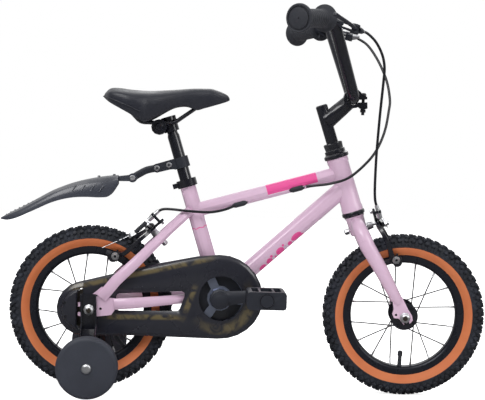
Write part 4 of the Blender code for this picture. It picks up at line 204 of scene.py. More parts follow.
# each of the case's bevels that gets a painted reflection: a point of it, its direction, its two ends and its
# two sides
case = {"bevelReflections": [((0.0, 0.0, 150.0), (0.973, 0.0, 0.23), -30.0, 245.0, 38.5, 50.5),
                   ((39.0, 0.0, 139.0), (1.0, 0.0, 0.016), -20.0, 140.0, -8.5, 4.0),
                   ((168.0, 0.0, 141.0), (0.342, 0.0, 0.94), -12.0, 66.0, -9.5, 4.0)],
        # the painted reflection's fades, its lobe, its strengths and its olive colour over the case's black
        "endFade": 20.0, "sideFade": 4.0, "lobe": (0.045, 0.068, 0.007),
        "lobeOffset": (0.0, -47.0, 0.0), "lobeWay": (0.6, 0.0, -0.8), "lobeRun": 50.0,
        "lobeReflectionLevel": 0.7, "bevelReflectionLevel": 0.8, "black": "#25262F", "reflectionOlive": "#6F6343",
        "wall": [(-32.8, 20.6), (-32.8, 44.5), (-31.4, 44.5), (-31.4, 20.6)],
        "screws": [(-44.6, 161.2), (-41.8, 136.3)], "screwRadius": 3.2, "screwLength": 4.0, "screwSunk": 3.5}


def glossPlasticMaterial():
    # polished ABS moulding: near-black, with a warm olive reflection painted into its colour along its
    # bevels, and fine haze
    material, tree, shader, place = newMaterial("polishedBlackAbs", case["black"],
                                                {"Coat Weight": 0.4, "Coat Roughness": 0.14})
    addGrain(tree, shader, place, 3.0, 0.006, 0.2, 0.32, 60.0)
    bevelReflections = 0.0
    for start, way, begin, end, low, high in case["bevelReflections"]:
        run, rise = twoWays(tree, place, start, way)
        strip = inside(tree, (rise, low, high, case["sideFade"]), (run, begin, end, case["endFade"]))
        bevelReflections = addNode(tree, "Math", {0: bevelReflections, 1: strip}, operation="MAXIMUM")
    bevelReflections = addNode(tree, "Math", {0: bevelReflections, 1: case["bevelReflectionLevel"]}, operation="MULTIPLY")
    # the round lobe below and in front of the hole gets the same painted reflection
    hole = worldPlace @ (Vector(bike["shell"]) + Vector(case["lobeOffset"]))
    far = addNode(tree, "VectorMath", {0: place, 1: hole}, operation="DISTANCE")
    ahead = twoWays(tree, place, bike["shell"], case["lobeWay"])[0]
    ahead = addNode(tree, "MapRange", {"Value": ahead, "From Max": case["lobeRun"],
                                       "To Max": case["lobeReflectionLevel"]})
    lobe = addNode(tree, "Math", {0: inside(tree, (far, *case["lobe"])), 1: ahead}, operation="MULTIPLY")
    # the painted reflection is broken into mottled patches
    reflectionMottle = addNode(tree, "TexNoise", {"Vector": place, "Scale": 34.0, "Detail": 5.0, "Distortion": 2.0})
    reflectionMottle = addNode(tree, "MapRange", {"Value": reflectionMottle, "From Min": 0.36, "From Max": 0.56})
    paintedReflection = addNode(tree, "Math", {0: bevelReflections, 1: lobe}, operation="MAXIMUM")
    paintedReflection = addNode(tree, "Math", {0: paintedReflection, 1: reflectionMottle}, operation="MULTIPLY")
    # olive where the reflection is painted, black elsewhere
    black, reflectionOlive = linear(case["black"]), linear(case["reflectionOlive"])
    tone = addNode(tree, "Mix", {0: paintedReflection, 6: black, 7: reflectionOlive}, data_type="RGBA")
    setInputs(tree, shader, {"Base Color": tone})
    return material


def tanWallMaterial():
    # skinwall casing: orange-tan rubber over cotton cords laid on the bias
    material, tree, shader, place = newMaterial("orangeTanSkinwall", "#D27D50", {"Roughness": 0.6})
    cords = addNode(tree, "TexWave", {"Vector": place, "Scale": 320.0, "Distortion": 0.6},
                    bands_direction="DIAGONAL")
    bump = addNode(tree, "Bump", {"Height": cords.outputs["Fac"], "Distance": 0.00006, "Strength": 0.6})
    setInputs(tree, shader, {"Normal": bump})
    addPatches(tree, shader, place, 30.0, 4.0, 0.0, 1.0, "#CB6B3D", "#DD8350")
    return material


def saddleVinylMaterial():
    # grained PVC skin over foam: fine leather grain, soft highlights
    material, tree, shader, place = newMaterial("grainedSaddleVinyl", "#23252F",
                                                {"Roughness": 0.42, "Sheen Weight": 0.1})
    cells = addNode(tree, "TexVoronoi", {"Vector": place, "Scale": 620.0})
    folds = addNode(tree, "TexNoise", {"Vector": place, "Scale": 240.0, "Detail": 4.0})
    height = addNode(tree, "Math", {0: cells, 1: folds}, operation="ADD")
    bump = addNode(tree, "Bump", {"Height": height, "Distance": 0.00022, "Strength": 0.8})
    wear = addNode(tree, "TexNoise", {"Vector": place, "Scale": 18.0, "Detail": 3.0})
    gloss = addNode(tree, "MapRange", {"Value": wear, "From Min": 0.35, "From Max": 0.65,
                                       "To Min": 0.36, "To Max": 0.52})
    setInputs(tree, shader, {"Normal": bump, "Roughness": gloss})
    return material


def reflectorMaterial():
    # moulded acrylic reflector: amber, with cube-corner prisms about 2 mm wide
    material, tree, shader, place = newMaterial("amberPrismAcrylic", "#B9481E", {"Roughness": 0.18})
    prisms = addNode(tree, "TexVoronoi", {"Vector": place, "Scale": 500.0, "Randomness": 0.0},
                     distance="MANHATTAN")
    bump = addNode(tree, "Bump", {"Height": prisms, "Distance": 0.0005})
    shade = addNode(tree, "Mix", {0: prisms, 6: linear("#C9602C"), 7: linear("#8E3216")}, data_type="RGBA")
    setInputs(tree, shader, {"Normal": bump, "Base Color": shade})
    return material


# a plain one: name, colour, shader's values, then grain and its depth in mm, roughness from and to and
# the size of its smears in mm, then patches: scale, detail, noise from and to, two tones
looks = {
    "framePaint": framePaintMaterial(), "glossPlastic": glossPlasticMaterial(), "tanWall": tanWallMaterial(),
    "saddleVinyl": saddleVinylMaterial(), "reflector": reflectorMaterial(),
    # stoved black enamel on steel: deep, glossy, with a faint ripple
    "blackPaint": plainMaterial("blackStoveEnamel", "#15161F", {"Coat Weight": 0.6, "Coat Roughness": 0.08},
                                (2.2, 0.008, 0.16, 0.3)),
    # moulded glass-filled nylon: satin black with a spark-eroded grain
    "blackPlastic": plainMaterial("mouldedBlackNylon", "#242731", {}, (0.9, 0.03, 0.4, 0.55)),
    # injection-moulded polypropylene: charcoal, half gloss, so that it shows the light from above
    "guardPlastic": plainMaterial("charcoalPolypropylene", "#3B3E48",
                                  {"Coat Weight": 0.35, "Coat Roughness": 0.2}, (1.3, 0.015, 0.26, 0.38)),
    # hard polyethylene: matt slate, scuffed in slow patches
    "wheelPlastic": plainMaterial("slatePolyethylene", "#31343F", {}, (1.6, 0.02, 0.5, 0.65),
                                  (28.0, 4.0, 0.0, 1.0, "#2E313B", "#383C48")),
    # moulded thermoplastic rubber: matt, charcoal, slightly dusty
    "blackRubber": plainMaterial("charcoalGripRubber", "#2B2D35", {"Sheen Weight": 0.08},
                                 (1.1, 0.04, 0.55, 0.75)),
    # vulcanised carbon-black rubber: matt slate, mould bloom in patches
    "tyreRubber": plainMaterial("vulcanisedTyreRubber", "#24272F", {}, (1.4, 0.05, 0.62, 0.85),
                                (45.0, 5.0, 0.45, 0.7, "#20232B", "#30343F")),
    # bright zinc plate on steel: cool silver, faint tumble marks
    "zinc": plainMaterial("brightZincPlate", "#E2E3E6", {"Metallic": 1.0}, (0.8, 0.01, 0.3, 0.46, 8.0)),
    # zinc-grey stamped steel: dull, cool blue-grey
    "greySteel": plainMaterial("stampedGreySteel", "#8E95A8", {"Metallic": 0.85},
                               (1.2, 0.015, 0.3, 0.45, 14.0)),
    # oiled carbon steel: dark, with brown oil film in patches
    "chainSteel": plainMaterial("oiledChainSteel", "#4B4A48", {"Metallic": 0.9}, (1.0, 0.02, 0.3, 0.5, 10.0),
                                (120.0, 4.0, 0.0, 1.0, "#3A3A3C", "#6A6256")),
    # black anodised aluminium: dark, half metallic, with slow changes of gloss
    "rimBlack": plainMaterial("blackAnodisedRim", "#262830", {"Metallic": 0.45},
                              (1.5, 0.01, 0.22, 0.34, 25.0)),
    # PVC cable sleeve: smooth, glossy black
    "sleeve": plainMaterial("blackCableSleeve", "#1A1B21", {}, (2.0, 0.01, 0.25, 0.36)),
}
print("materials:", len(looks))


# Making pieces

def addObject(name, data):
    made = bpy.data.objects.new(name, data)
    bpy.context.collection.objects.link(made)
    return made


def finishPiece(bm, name, look, body, place=worldPlace, smooth=40.0, replaced=None, bevel=0.0, levels=0):
    # look is one name, or a list of them in the order of the faces' own numbers
    names = [look] if isinstance(look, str) else look
    bm.transform(place)
    bmesh.ops.recalc_face_normals(bm, faces=bm.faces)
    mesh = bpy.data.meshes.new(name)
    bm.to_mesh(mesh)
    bm.free()
    for face in mesh.polygons:
        face.use_smooth = True
    mesh.set_sharp_from_angle(angle=math.radians(smooth))
    for each in names:
        mesh.materials.append(looks[each])
    piece = addObject(name, mesh)
    if bevel:
        soften = piece.modifiers.new("edges", "BEVEL")
        soften.width = bevel / 1000
        soften.segments = 2
        soften.limit_method = "ANGLE"
        soften.angle_limit = math.radians(smooth)
        soften.harden_normals = True
    if levels:
        subdivide = piece.modifiers.new("smooth", "SUBSURF")
        subdivide.levels = levels
        subdivide.render_levels = levels
    if body:
        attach(piece, body)
    if replaced:
        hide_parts(replaced)
    return piece


def polished(node, look, smooth=38.0, bevel=0.35, dark=None, turn=None):
    # a merged copy of a CAD piece with softened edges; faces that pass the dark test look oiled
    bm = bmesh.new()
    bm.from_mesh(frame["nodes"][node].data)
    bmesh.ops.remove_doubles(bm, verts=bm.verts, dist=1e-6)
    bmesh.ops.dissolve_limit(bm, angle_limit=math.radians(0.5), verts=bm.verts, edges=bm.edges)
    bm.transform(worldPlace.inverted())
    if turn:
        bm.transform(turn)
    for face in bm.faces:
        if dark and dark(face.calc_center_median()):
            face.material_index = 1
    names = [look, "chainSteel"] if dark else [look]
    finishPiece(bm, node + "Skin", names, bodyOfNode[node], worldPlace, smooth, node, bevel)


def nearAxle(place, reach):
    # a test for points of the drawing that lie close to a wheel's axle
    own = worldPlace.inverted() @ place
    centre, way = own.translation, own.to_3x3() @ Vector((0.0, 1.0, 0.0))
    return lambda point: (point - centre).cross(way).length < reach


def axisTurn(direction):
    return Vector((0.0, 0.0, 1.0)).rotation_difference(Vector(direction).normalized()).to_matrix().to_4x4()


def addRod(bm, start, end, radius, sides=16, tip=None):
    start, end = Vector(start), Vector(end)
    place = Matrix.Translation((start + end) / 2) @ axisTurn(end - start)
    bmesh.ops.create_cone(bm, cap_ends=True, segments=sides, radius1=radius,
                          radius2=radius if tip is None else tip, depth=(end - start).length, matrix=place)


def addTurned(bm, origin, way, rods):
    # rods on one axis, each: from, to, radius, sides and, where it tapers, the far end's radius
    origin, way = Vector(origin), Vector(way)
    for low, high, *finish in rods:
        addRod(bm, origin + way * low, origin + way * high, *finish)


def addBox(bm, centre, size):
    bmesh.ops.create_cube(bm, size=1.0, matrix=Matrix.Translation(centre) @ Matrix.Diagonal((*size, 1.0)))


def spinProfile(bm, points, steps=72, closed=False):
    # points are (across, radius) round the Y axis
    verts = [bm.verts.new((radius, across, 0.0)) for across, radius in points]
    edges = [bm.edges.new(pair) for pair in zip(verts, verts[1:])]
    if closed:
        edges.append(bm.edges.new((verts[-1], verts[0])))
    bmesh.ops.spin(bm, geom=verts + edges, cent=(0.0, 0.0, 0.0), axis=(0.0, 1.0, 0.0), angle=2 * math.pi,
                   steps=steps, use_merge=True)


def smoothPath(points, parts=6):
    # a curve through the points, turned as a drawn spline would
    points = [Vector(p) for p in points]
    made = []
    for i in range(len(points) - 1):
        a, b = points[max(i - 1, 0)], points[i]
        c, d = points[i + 1], points[min(i + 2, len(points) - 1)]
        for k in range(parts):
            t = k / parts
            made.append(0.5 * (2 * b + (c - a) * t + (2 * a - 5 * b + 4 * c - d) * t * t
                               + (3 * b - a - 3 * c + d) * t ** 3))
    return made + [points[-1]]


def wayAlong(points, i):
    return (points[min(i + 1, len(points) - 1)] - points[max(i - 1, 0)]).normalized()


def skinRings(bm, rings):
    rows = [[bm.verts.new(p) for p in ring] for ring in rings]
    count = len(rows[0])
    for low, high in zip(rows, rows[1:]):
        for i in range(count):
            j = (i + 1) % count
            bm.faces.new((low[i], low[j], high[j], high[i]))
    bm.faces.new(list(reversed(rows[0])))
    bm.faces.new(rows[-1])


def addTube(bm, points, radius, sides=12, widen=None):
    rings = []
    normal = wayAlong(points, 0).orthogonal()
    for i, p in enumerate(points):
        along = wayAlong(points, i)
        normal = (normal - along * normal.dot(along)).normalized()
        across = along.cross(normal)
        size = radius if widen is None else radius * widen(i)
        rings.append([p + (normal * math.cos(a) + across * math.sin(a)) * size
                      for a in (2 * math.pi * k / sides for k in range(sides))])
    skinRings(bm, rings)


def addBand(bm, points, wide, thick, side):
    # a flat bar with eased corners along a path; side is the direction of its width, the path
    # decides that of its thickness, and both sizes may change from point to point
    corners = [(1.0, 0.7), (0.8, 1.0), (-0.8, 1.0), (-1.0, 0.7),
               (-1.0, -0.7), (-0.8, -1.0), (0.8, -1.0), (1.0, -0.7)]
    side = Vector(side).normalized()
    rings = []
    for i, p in enumerate(points):
        flat = wayAlong(points, i).cross(side).normalized()
        w, t = ((size(i) if callable(size) else size) / 2 for size in (wide, thick))
        rings.append([p + side * (a * w) + flat * (b * t) for a, b in corners])
    skinRings(bm, rings)


def addScrew(bm, place, direction, radius, height, socket=0.5):
    # a round head with a chamfer and a sunk socket
    turn = Matrix.Translation(place) @ axisTurn(direction)
    rings = []
    for up, wide in ((0.0, 1.0), (0.65, 1.0), (1.0, 0.8), (1.0, socket), (0.55, socket)):
        rings.append([turn @ Vector((math.cos(a) * radius * wide, math.sin(a) * radius * wide, up * height))
                      for a in (2 * math.pi * k / 12 for k in range(12))])
    skinRings(bm, rings)


# Wheels

# each row of lugs: across, radius, lean, size, height, corners, shift in steps, stretch and how many
tyre = {"radius": 150.0, "half": 23.9, "steps": 120, "taper": 0.78,
        "wall": [(11.0, 108.0), (12.6, 111.6), (15.6, 114.6), (18.9, 119.0), (21.2, 123.4), (22.4, 127.2)],
        "crown": [(22.2, 126.4), (23.0, 127.4), (22.4, 129.6), (21.2, 134.0), (19.5, 137.8), (16.4, 141.2),
                  (11.6, 143.8), (6.0, 145.1), (0.0, 145.5)],
        "rows": [(21.9, 133.0, 82.0, 4.5, 1.9, 6, 0.0, 1.0, 68),
                 (20.6, 139.2, 54.0, 4.6, 2.8, 6, 0.5, 1.0, 68),
                 (15.2, 143.9, 30.0, 5.4, 3.4, 4, 0.0, 1.0, 56),
                 (6.2, 146.4, 6.0, 4.9, 3.4, 6, 0.5, 1.1, 56)]}


def addLugRow(bm, side, across, radius, lean, size, height, corners, shift, stretch, count):
    # one block on the tyre's slope, then its copies all round
    step = 2 * math.pi / count
    place = (Matrix.Rotation(shift * step, 4, "Y") @ Matrix.Translation((radius, across * side, 0.0))
             @ Matrix.Rotation(math.radians(lean * side), 4, "Z")
             @ Matrix.Rotation(math.radians(90.0), 4, "Y") @ Matrix.Diagonal((stretch, 1.0, 1.0, 1.0)))
    made = bmesh.ops.create_cone(bm, cap_ends=True, segments=corners, radius1=size,
                                 radius2=size * tyre["taper"], depth=height * 2, matrix=place)["verts"]
    edges = dict.fromkeys(edge for vert in made for edge in vert.link_edges)
    faces = dict.fromkeys(face for vert in made for face in vert.link_faces)
    bmesh.ops.spin(bm, geom=[*made, *edges, *faces], cent=(0.0, 0.0, 0.0), axis=(0.0, 1.0, 0.0),
                   angle=step * (count - 1), steps=count - 1, use_duplicate=True)


def makeTyre(end, place):
    bm = bmesh.new()
    for side in (1, -1):
        spinProfile(bm, [(y * side, r) for y, r in tyre["wall"]], tyre["steps"])
    finishPiece(bm, end + "TyreWall", "tanWall", end + "_wheel", place, 60.0)
    bm = bmesh.new()
    crown = tyre["crown"]
    spinProfile(bm, crown + [(-y, r) for y, r in reversed(crown[:-1])], tyre["steps"])
    for side in (-1, 1):
        for row in tyre["rows"]:
            addLugRow(bm, side, *row)
    # no lug stands out past the tyre's own size
    for vert in bm.verts:
        shrink = min(1.0, tyre["radius"] / math.hypot(vert.co.x, vert.co.z))
        vert.co.x *= shrink
        vert.co.z *= shrink
        vert.co.y = max(-tyre["half"], min(tyre["half"], vert.co.y))
    finishPiece(bm, end + "TyreTread", "tyreRubber", end + "_wheel", place, 35.0, end + "_tyre")


# the valve's rubber foot, stem, cap and the cap's tip stand along one radius
wheel = {"rimOuter": 111.5, "rimInner": 96.6, "rimHalf": 13.0, "spokesPerSide": 8, "flange": 25.5,
         "flangeHalf": 1.7, "spokeRadius": 1.15, "nippleLength": 11.0,
         "valve": [(97.6, 93.6, 5.0, 16, 3.4), (93.6, 78.6, 3.9, 16, 3.5), (78.6, 70.6, 4.7, 20, 4.5),
                   (70.6, 68.6, 4.5, 20, 2.4)]}


def makeRim(end, place, valveAngle):
    bm = bmesh.new()
    outer, inner, half = wheel["rimOuter"], wheel["rimInner"], wheel["rimHalf"]
    section = [(-half, outer + 0.4), (-half - 0.4, outer - 1.2), (-half, outer - 2.6), (-half, outer - 9.0),
               (-half + 1.2, inner + 3.0), (-half + 4.0, inner + 0.8), (-half + 8.0, inner),
               (0.0, inner - 0.2)]
    section += [(-y, r) for y, r in reversed(section[:-1])]
    section += [(half - 2.0, outer), (half - 3.0, outer - 6.0),
                (-half + 3.0, outer - 6.0), (-half + 2.0, outer)]
    spinProfile(bm, section, 96, closed=True)
    finishPiece(bm, end + "RimRing", "rimBlack", end + "_wheel", place, 40.0, end + "_rim")
    bm = bmesh.new()
    addTurned(bm, (0.0, 0.0, 0.0), (math.cos(valveAngle), 0.0, math.sin(valveAngle)), wheel["valve"])
    finishPiece(bm, end + "RimValve", "blackRubber", end + "_wheel", place, bevel=0.3)


def hubSide(middle, hubEnd):
    # from the hub's end over the flange to its barrel
    half, flange = wheel["flangeHalf"], wheel["flange"]
    return [(hubEnd, 5.6), (hubEnd, 9.5), (hubEnd - 1.0, 10.5), (middle + half + 1.5, 12.5),
            (middle + half, 16.0), (middle + half, flange - 1.0), (middle, flange),
            (middle - half, flange - 1.0), (middle - half, 17.0), (middle - 5.0, 14.0)]


def makeSpokes(end, place, rightFlange, leftFlange, hubEnd, turn):
    spokes, nipples, hub = bmesh.new(), bmesh.new(), bmesh.new()
    spacing = 2 * math.pi / wheel["spokesPerSide"]
    for flange, side in ((-rightFlange, -1), (leftFlange, 1)):
        for number in range(wheel["spokesPerSide"]):
            lead = 1 if number % 2 == 0 else -1
            rimAngle = number * spacing + turn + (0.0 if side < 0 else spacing / 2)
            hubAngle = rimAngle + lead * spacing
            first = Vector((math.cos(hubAngle), 0.0, math.sin(hubAngle))) * (wheel["flange"] - 4.0)
            first.y = flange + 2.2 * lead * side
            last = Vector((math.cos(rimAngle), 0.0, math.sin(rimAngle))) * wheel["rimInner"]
            last.y = side * 2.0
            addRod(spokes, first, last, wheel["spokeRadius"], 8)
            addTurned(spokes, first, (0.0, 1.0, 0.0), [(-1.6, 1.6, 2.0, 8)])
            foot = last + (first - last).normalized() * wheel["nippleLength"]
            addRod(nipples, last, foot, 2.0, 8, 1.5)
    section = [(-y, r) for y, r in hubSide(rightFlange, hubEnd)] + [(0.0, 11.5)]
    spinProfile(hub, section + hubSide(leftFlange, hubEnd)[::-1], 48)
    finishPiece(spokes, end + "WheelSpokes", "rimBlack", end + "_wheel", place, 50.0)
    finishPiece(nipples, end + "WheelNipples", "zinc", end + "_wheel", place, 50.0)
    finishPiece(hub, end + "WheelHub", "blackPaint", end + "_wheel", place, 40.0, end + "_hub")


# the front valve hangs straight down from a fork that leans back
makeTyre("front", frontWheelPlace)
makeRim("front", frontWheelPlace, -math.pi / 2 - math.radians(bike["headAngle"]) - 0.03)
makeSpokes("front", frontWheelPlace, 30.0, 30.0, 36.0, -0.146)
makeTyre("rear", rearWheelPlace)
makeRim("rear", rearWheelPlace, math.radians(-50.0))
makeSpokes("rear", rearWheelPlace, 24.0, 30.0, 43.0, 0.09)
print("wheels")


# Pieces that keep the solids' shape

# look, sharpest angle that is smoothed, width of the softened edge, and a test for oiled faces
kept = {
    "frame": ("framePaint", 38.0, 0.5), "fork": ("framePaint", 38.0, 0.5),
    "headset_bottom_cup": ("blackPaint", 32.0), "headset_top_cup": ("blackPaint", 32.0),
    "headset_lock_nut": ("blackPaint", 32.0), "stem": ("blackPaint", 40.0, 0.5),
    "handlebar": ("blackPaint", 40.0),
    "cable_grommet_front": ("blackRubber", 50.0, 0.3), "cable_grommet_rear": ("blackRubber", 50.0, 0.3),
    "bottom_bracket": ("greySteel",), "seat_collar": ("blackPaint", 40.0),
    "seatpost": ("blackPaint", 40.0, 0.4),
    "front_axle": ("zinc", 50.0, 0.3, nearAxle(frontWheelPlace, 5.1)),
    "rear_axle": ("zinc", 50.0, 0.3, nearAxle(rearWheelPlace, 5.1)),
    "front_brake_bolt": ("zinc", 50.0, 0.3), "rear_brake_bolt": ("zinc", 50.0, 0.3),
    "crank_spindle": ("greySteel",), "chainring": ("greySteel", 30.0, 0.2),
    "freewheel": ("chainSteel", 30.0, 0.2),
    "chain": ("chainSteel", 40.0, 0.0), "chain_case": ("glossPlastic", 35.0, 1.2),
    "chain_case_rear_cover": ("glossPlastic", 35.0, 1.2), "saddle_rails": ("blackPaint", 60.0, 0.0),
    "saddle_clamp": ("blackPaint", 40.0, 0.5), "mudguard_strap": ("blackPlastic", 40.0, 0.5),
}
keptPairs = {"brake_bracket_": ("blackPlastic", 50.0, 0.5), "brake_lever_": ("blackPlastic", 50.0, 0.5),
             "crank_": ("blackPlastic", 38.0, 0.8), "pedal_": ("blackPlastic", 38.0, 0.9),
             "stabiliser_bracket_": ("blackPaint", 40.0, 0.4)}
for node, finish in kept.items():
    polished(node, *finish)
for side in ("right", "left"):
    for node, finish in keptPairs.items():
        polished(node + side, *finish)
print("frame, fork and fittings")


# Stem bolt, grips and levers

grip = {"length": 97.0, "radius": 15.6, "flange": 25.0, "barEnd": (0.4, 228.6, 356.0),
        "barCorner": (61.0, 115.0, 345.0), "rings": 11, "ringStart": 9.0, "ringStop": 85.0}
quill = {"low": 66.0, "high": 196.0, "radius": 3.0, "headRadius": 5.6, "headHeight": 6.0}
# the barrel's two ends and the clamp's screw, then the barrel's lock ring and thread
lever = {"places": [(92.0, 88.0, 314.5), (104.0, 88.0, 310.0), (84.0, 96.0, 331.0)],
         "barrel": [(-7.5, -1.0, 4.6, 12), (-1.0, 5.5, 3.9, 12, 3.4)]}


def makeStemBolt():
    # the quill's long bolt, whose head sits sunk in the top of the stem
    bm = bmesh.new()
    top = (0.0, 0.0, quill["high"])
    addRod(bm, (0.0, 0.0, quill["low"]), top, quill["radius"], 16)
    addScrew(bm, top, (0.0, 0.0, 1.0), quill["headRadius"], quill["headHeight"])
    finishPiece(bm, "stemBolt", "blackPaint", "steering", steerPlace, 35.0, "stem_expander_bolt")


def makeGrip(name, side):
    # a soft grip with a wide end flange, a dished end cap and shallow finger rings
    bm = bmesh.new()
    end, corner = (Vector((x, y * side, z)) for x, y, z in (grip["barEnd"], grip["barCorner"]))
    radius, flange, length = grip["radius"], grip["flange"], grip["length"]
    section = [(-0.8, 0.0), (-0.8, 1.1), (-2.8, 1.5), (-3.0, 17.0), (-2.6, 17.8), (-0.4, 18.2), (-0.4, 20.6),
               (-2.4, 21.2), (-2.9, 22.6), (-2.2, flange - 0.9), (-0.6, flange), (1.4, flange),
               (3.0, flange - 1.0), (4.2, flange - 3.6), (5.0, radius + 3.5), (7.0, radius + 1.0)]
    pitch = (grip["ringStop"] - grip["ringStart"]) / grip["rings"]
    for ring in range(grip["rings"]):
        base = grip["ringStart"] + ring * pitch
        section += [(base, radius - 0.5), (base + pitch * 0.2, radius + 0.5),
                    (base + pitch * 0.62, radius + 0.6), (base + pitch * 0.8, radius - 0.5)]
    section += [(length - 9.0, radius + 0.8), (length - 6.0, radius + 3.0), (length - 5.0, flange - 3.0),
                (length - 3.8, flange - 0.8), (length - 2.0, flange - 0.6), (length - 0.4, flange - 1.8),
                (length, flange - 4.0), (length, 12.0)]
    spinProfile(bm, section, 48)
    upright = Vector((0.0, 1.0, 0.0)).rotation_difference(corner - end).to_matrix().to_4x4()
    bm.transform(Matrix.Translation(end) @ upright)
    finishPiece(bm, "grip_%sSkin" % name, "blackRubber", "steering", steerPlace, 32.0, "grip_" + name)


def makeLeverParts(name, side):
    # barrel adjuster, lock ring and clamp screw of a lever bracket
    bm = bmesh.new()
    start, stop, screw = (Vector((x, y * side, z)) for x, y, z in lever["places"])
    addTurned(bm, stop, (stop - start).normalized(), lever["barrel"])
    addScrew(bm, screw, (0.3, 0.0, 1.0), 3.4, 3.0)
    finishPiece(bm, "leverParts" + name, "zinc", "steering", steerPlace)


makeStemBolt()
for name, side in (("right", -1), ("left", 1)):
    makeGrip(name, side)
    makeLeverParts(name, side)
print("stem bolt, grips and levers")


# Brakes

# forward is how far the pads' bolts stand before the arms' middle, bow how far the arms bend that way,
# shift moves both arms along their bolt, growth is how much a limb widens toward its foot and
# across where the wire enters; tail is the lower arm's and wire the bare wire's way, both in the
# brake's own frame; hand is the side of the upper arm, which is the right one
brakes = {"front": {"place": steerPlace @ Matrix.Translation(bike["frontBrake"]), "wheel": frontWheelPlace,
                    "hand": -1, "forward": 16.0, "bow": 8.0, "shift": 5.0, "growth": 6.0, "across": 10.0,
                    "tail": [(10.0, 12.0, -2.0), (12.0, 23.0, -4.0)],
                    "wire": [(10.0, 20.5, 12.0), (13.0, 21.5, 2.0), (17.0, 23.0, -4.0), (18.0, 24.0, -13.0)]},
          "rear": {"place": (worldPlace @ Matrix.Translation(bike["rearBrake"])
                             @ Matrix.Rotation(math.radians(bike["rearBrakeAngle"]), 4, "Y")
                             @ Matrix.Rotation(math.pi, 4, "Z")), "wheel": rearWheelPlace,
                   "hand": 1, "forward": 8.5, "bow": 3.0, "shift": 0.0, "growth": 4.6, "across": 14.5,
                   "tail": [(4.0, 13.0, -6.0), (8.0, 20.0, -20.0), (11.0, 22.5, -34.0)],
                   "wire": [(14.5, 20.5, 10.0), (14.5, 21.0, -12.0), (15.5, 21.8, -28.0), (19.0, 22.6, -40.0),
                            (26.0, 23.0, -60.0), (36.0, 23.5, -88.0)]}}
caliper = {"reach": 25.3, "half": 2.65, "inlet": 20.5, "bar": 5.0, "prong": (3.4, 4.6, 17.0), "prongs": 5.89,
           "boss": [(-2.5, 2.5, 9.6, 32)], "lowerBoss": [(-2.5, 2.5, 9.6, 32), (2.5, 5.5, 8.8, 32, 7.6)],
           "washers": [(-1.3, 3.4, 9.4, 32), (9.3, 9.6, 2.7, 6)], "lip": [(-1.3, 3.0, 8.6, 32)],
           "padNut": [(3.2, 4.6, 6.9, 24)], "adjusterNut": [(-2.5, -7.0, 5.4, 6)],
           "boltNut": [(7.0, 14.6, 5.4, 6)], "anchor": [(2.5, 6.5, 6.2, 6), (6.5, 10.5, 3.7, 16)],
           "adjuster": [(8.0, 18.6, 4.3, 12, 4.9), (18.6, 23.4, 5.6, 6), (23.4, 33.5, 3.9, 16, 3.4)]}


def boxMiddle(node, place):
    low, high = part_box(node)
    return place.inverted() @ ((Vector(low) + Vector(high)) / 2)


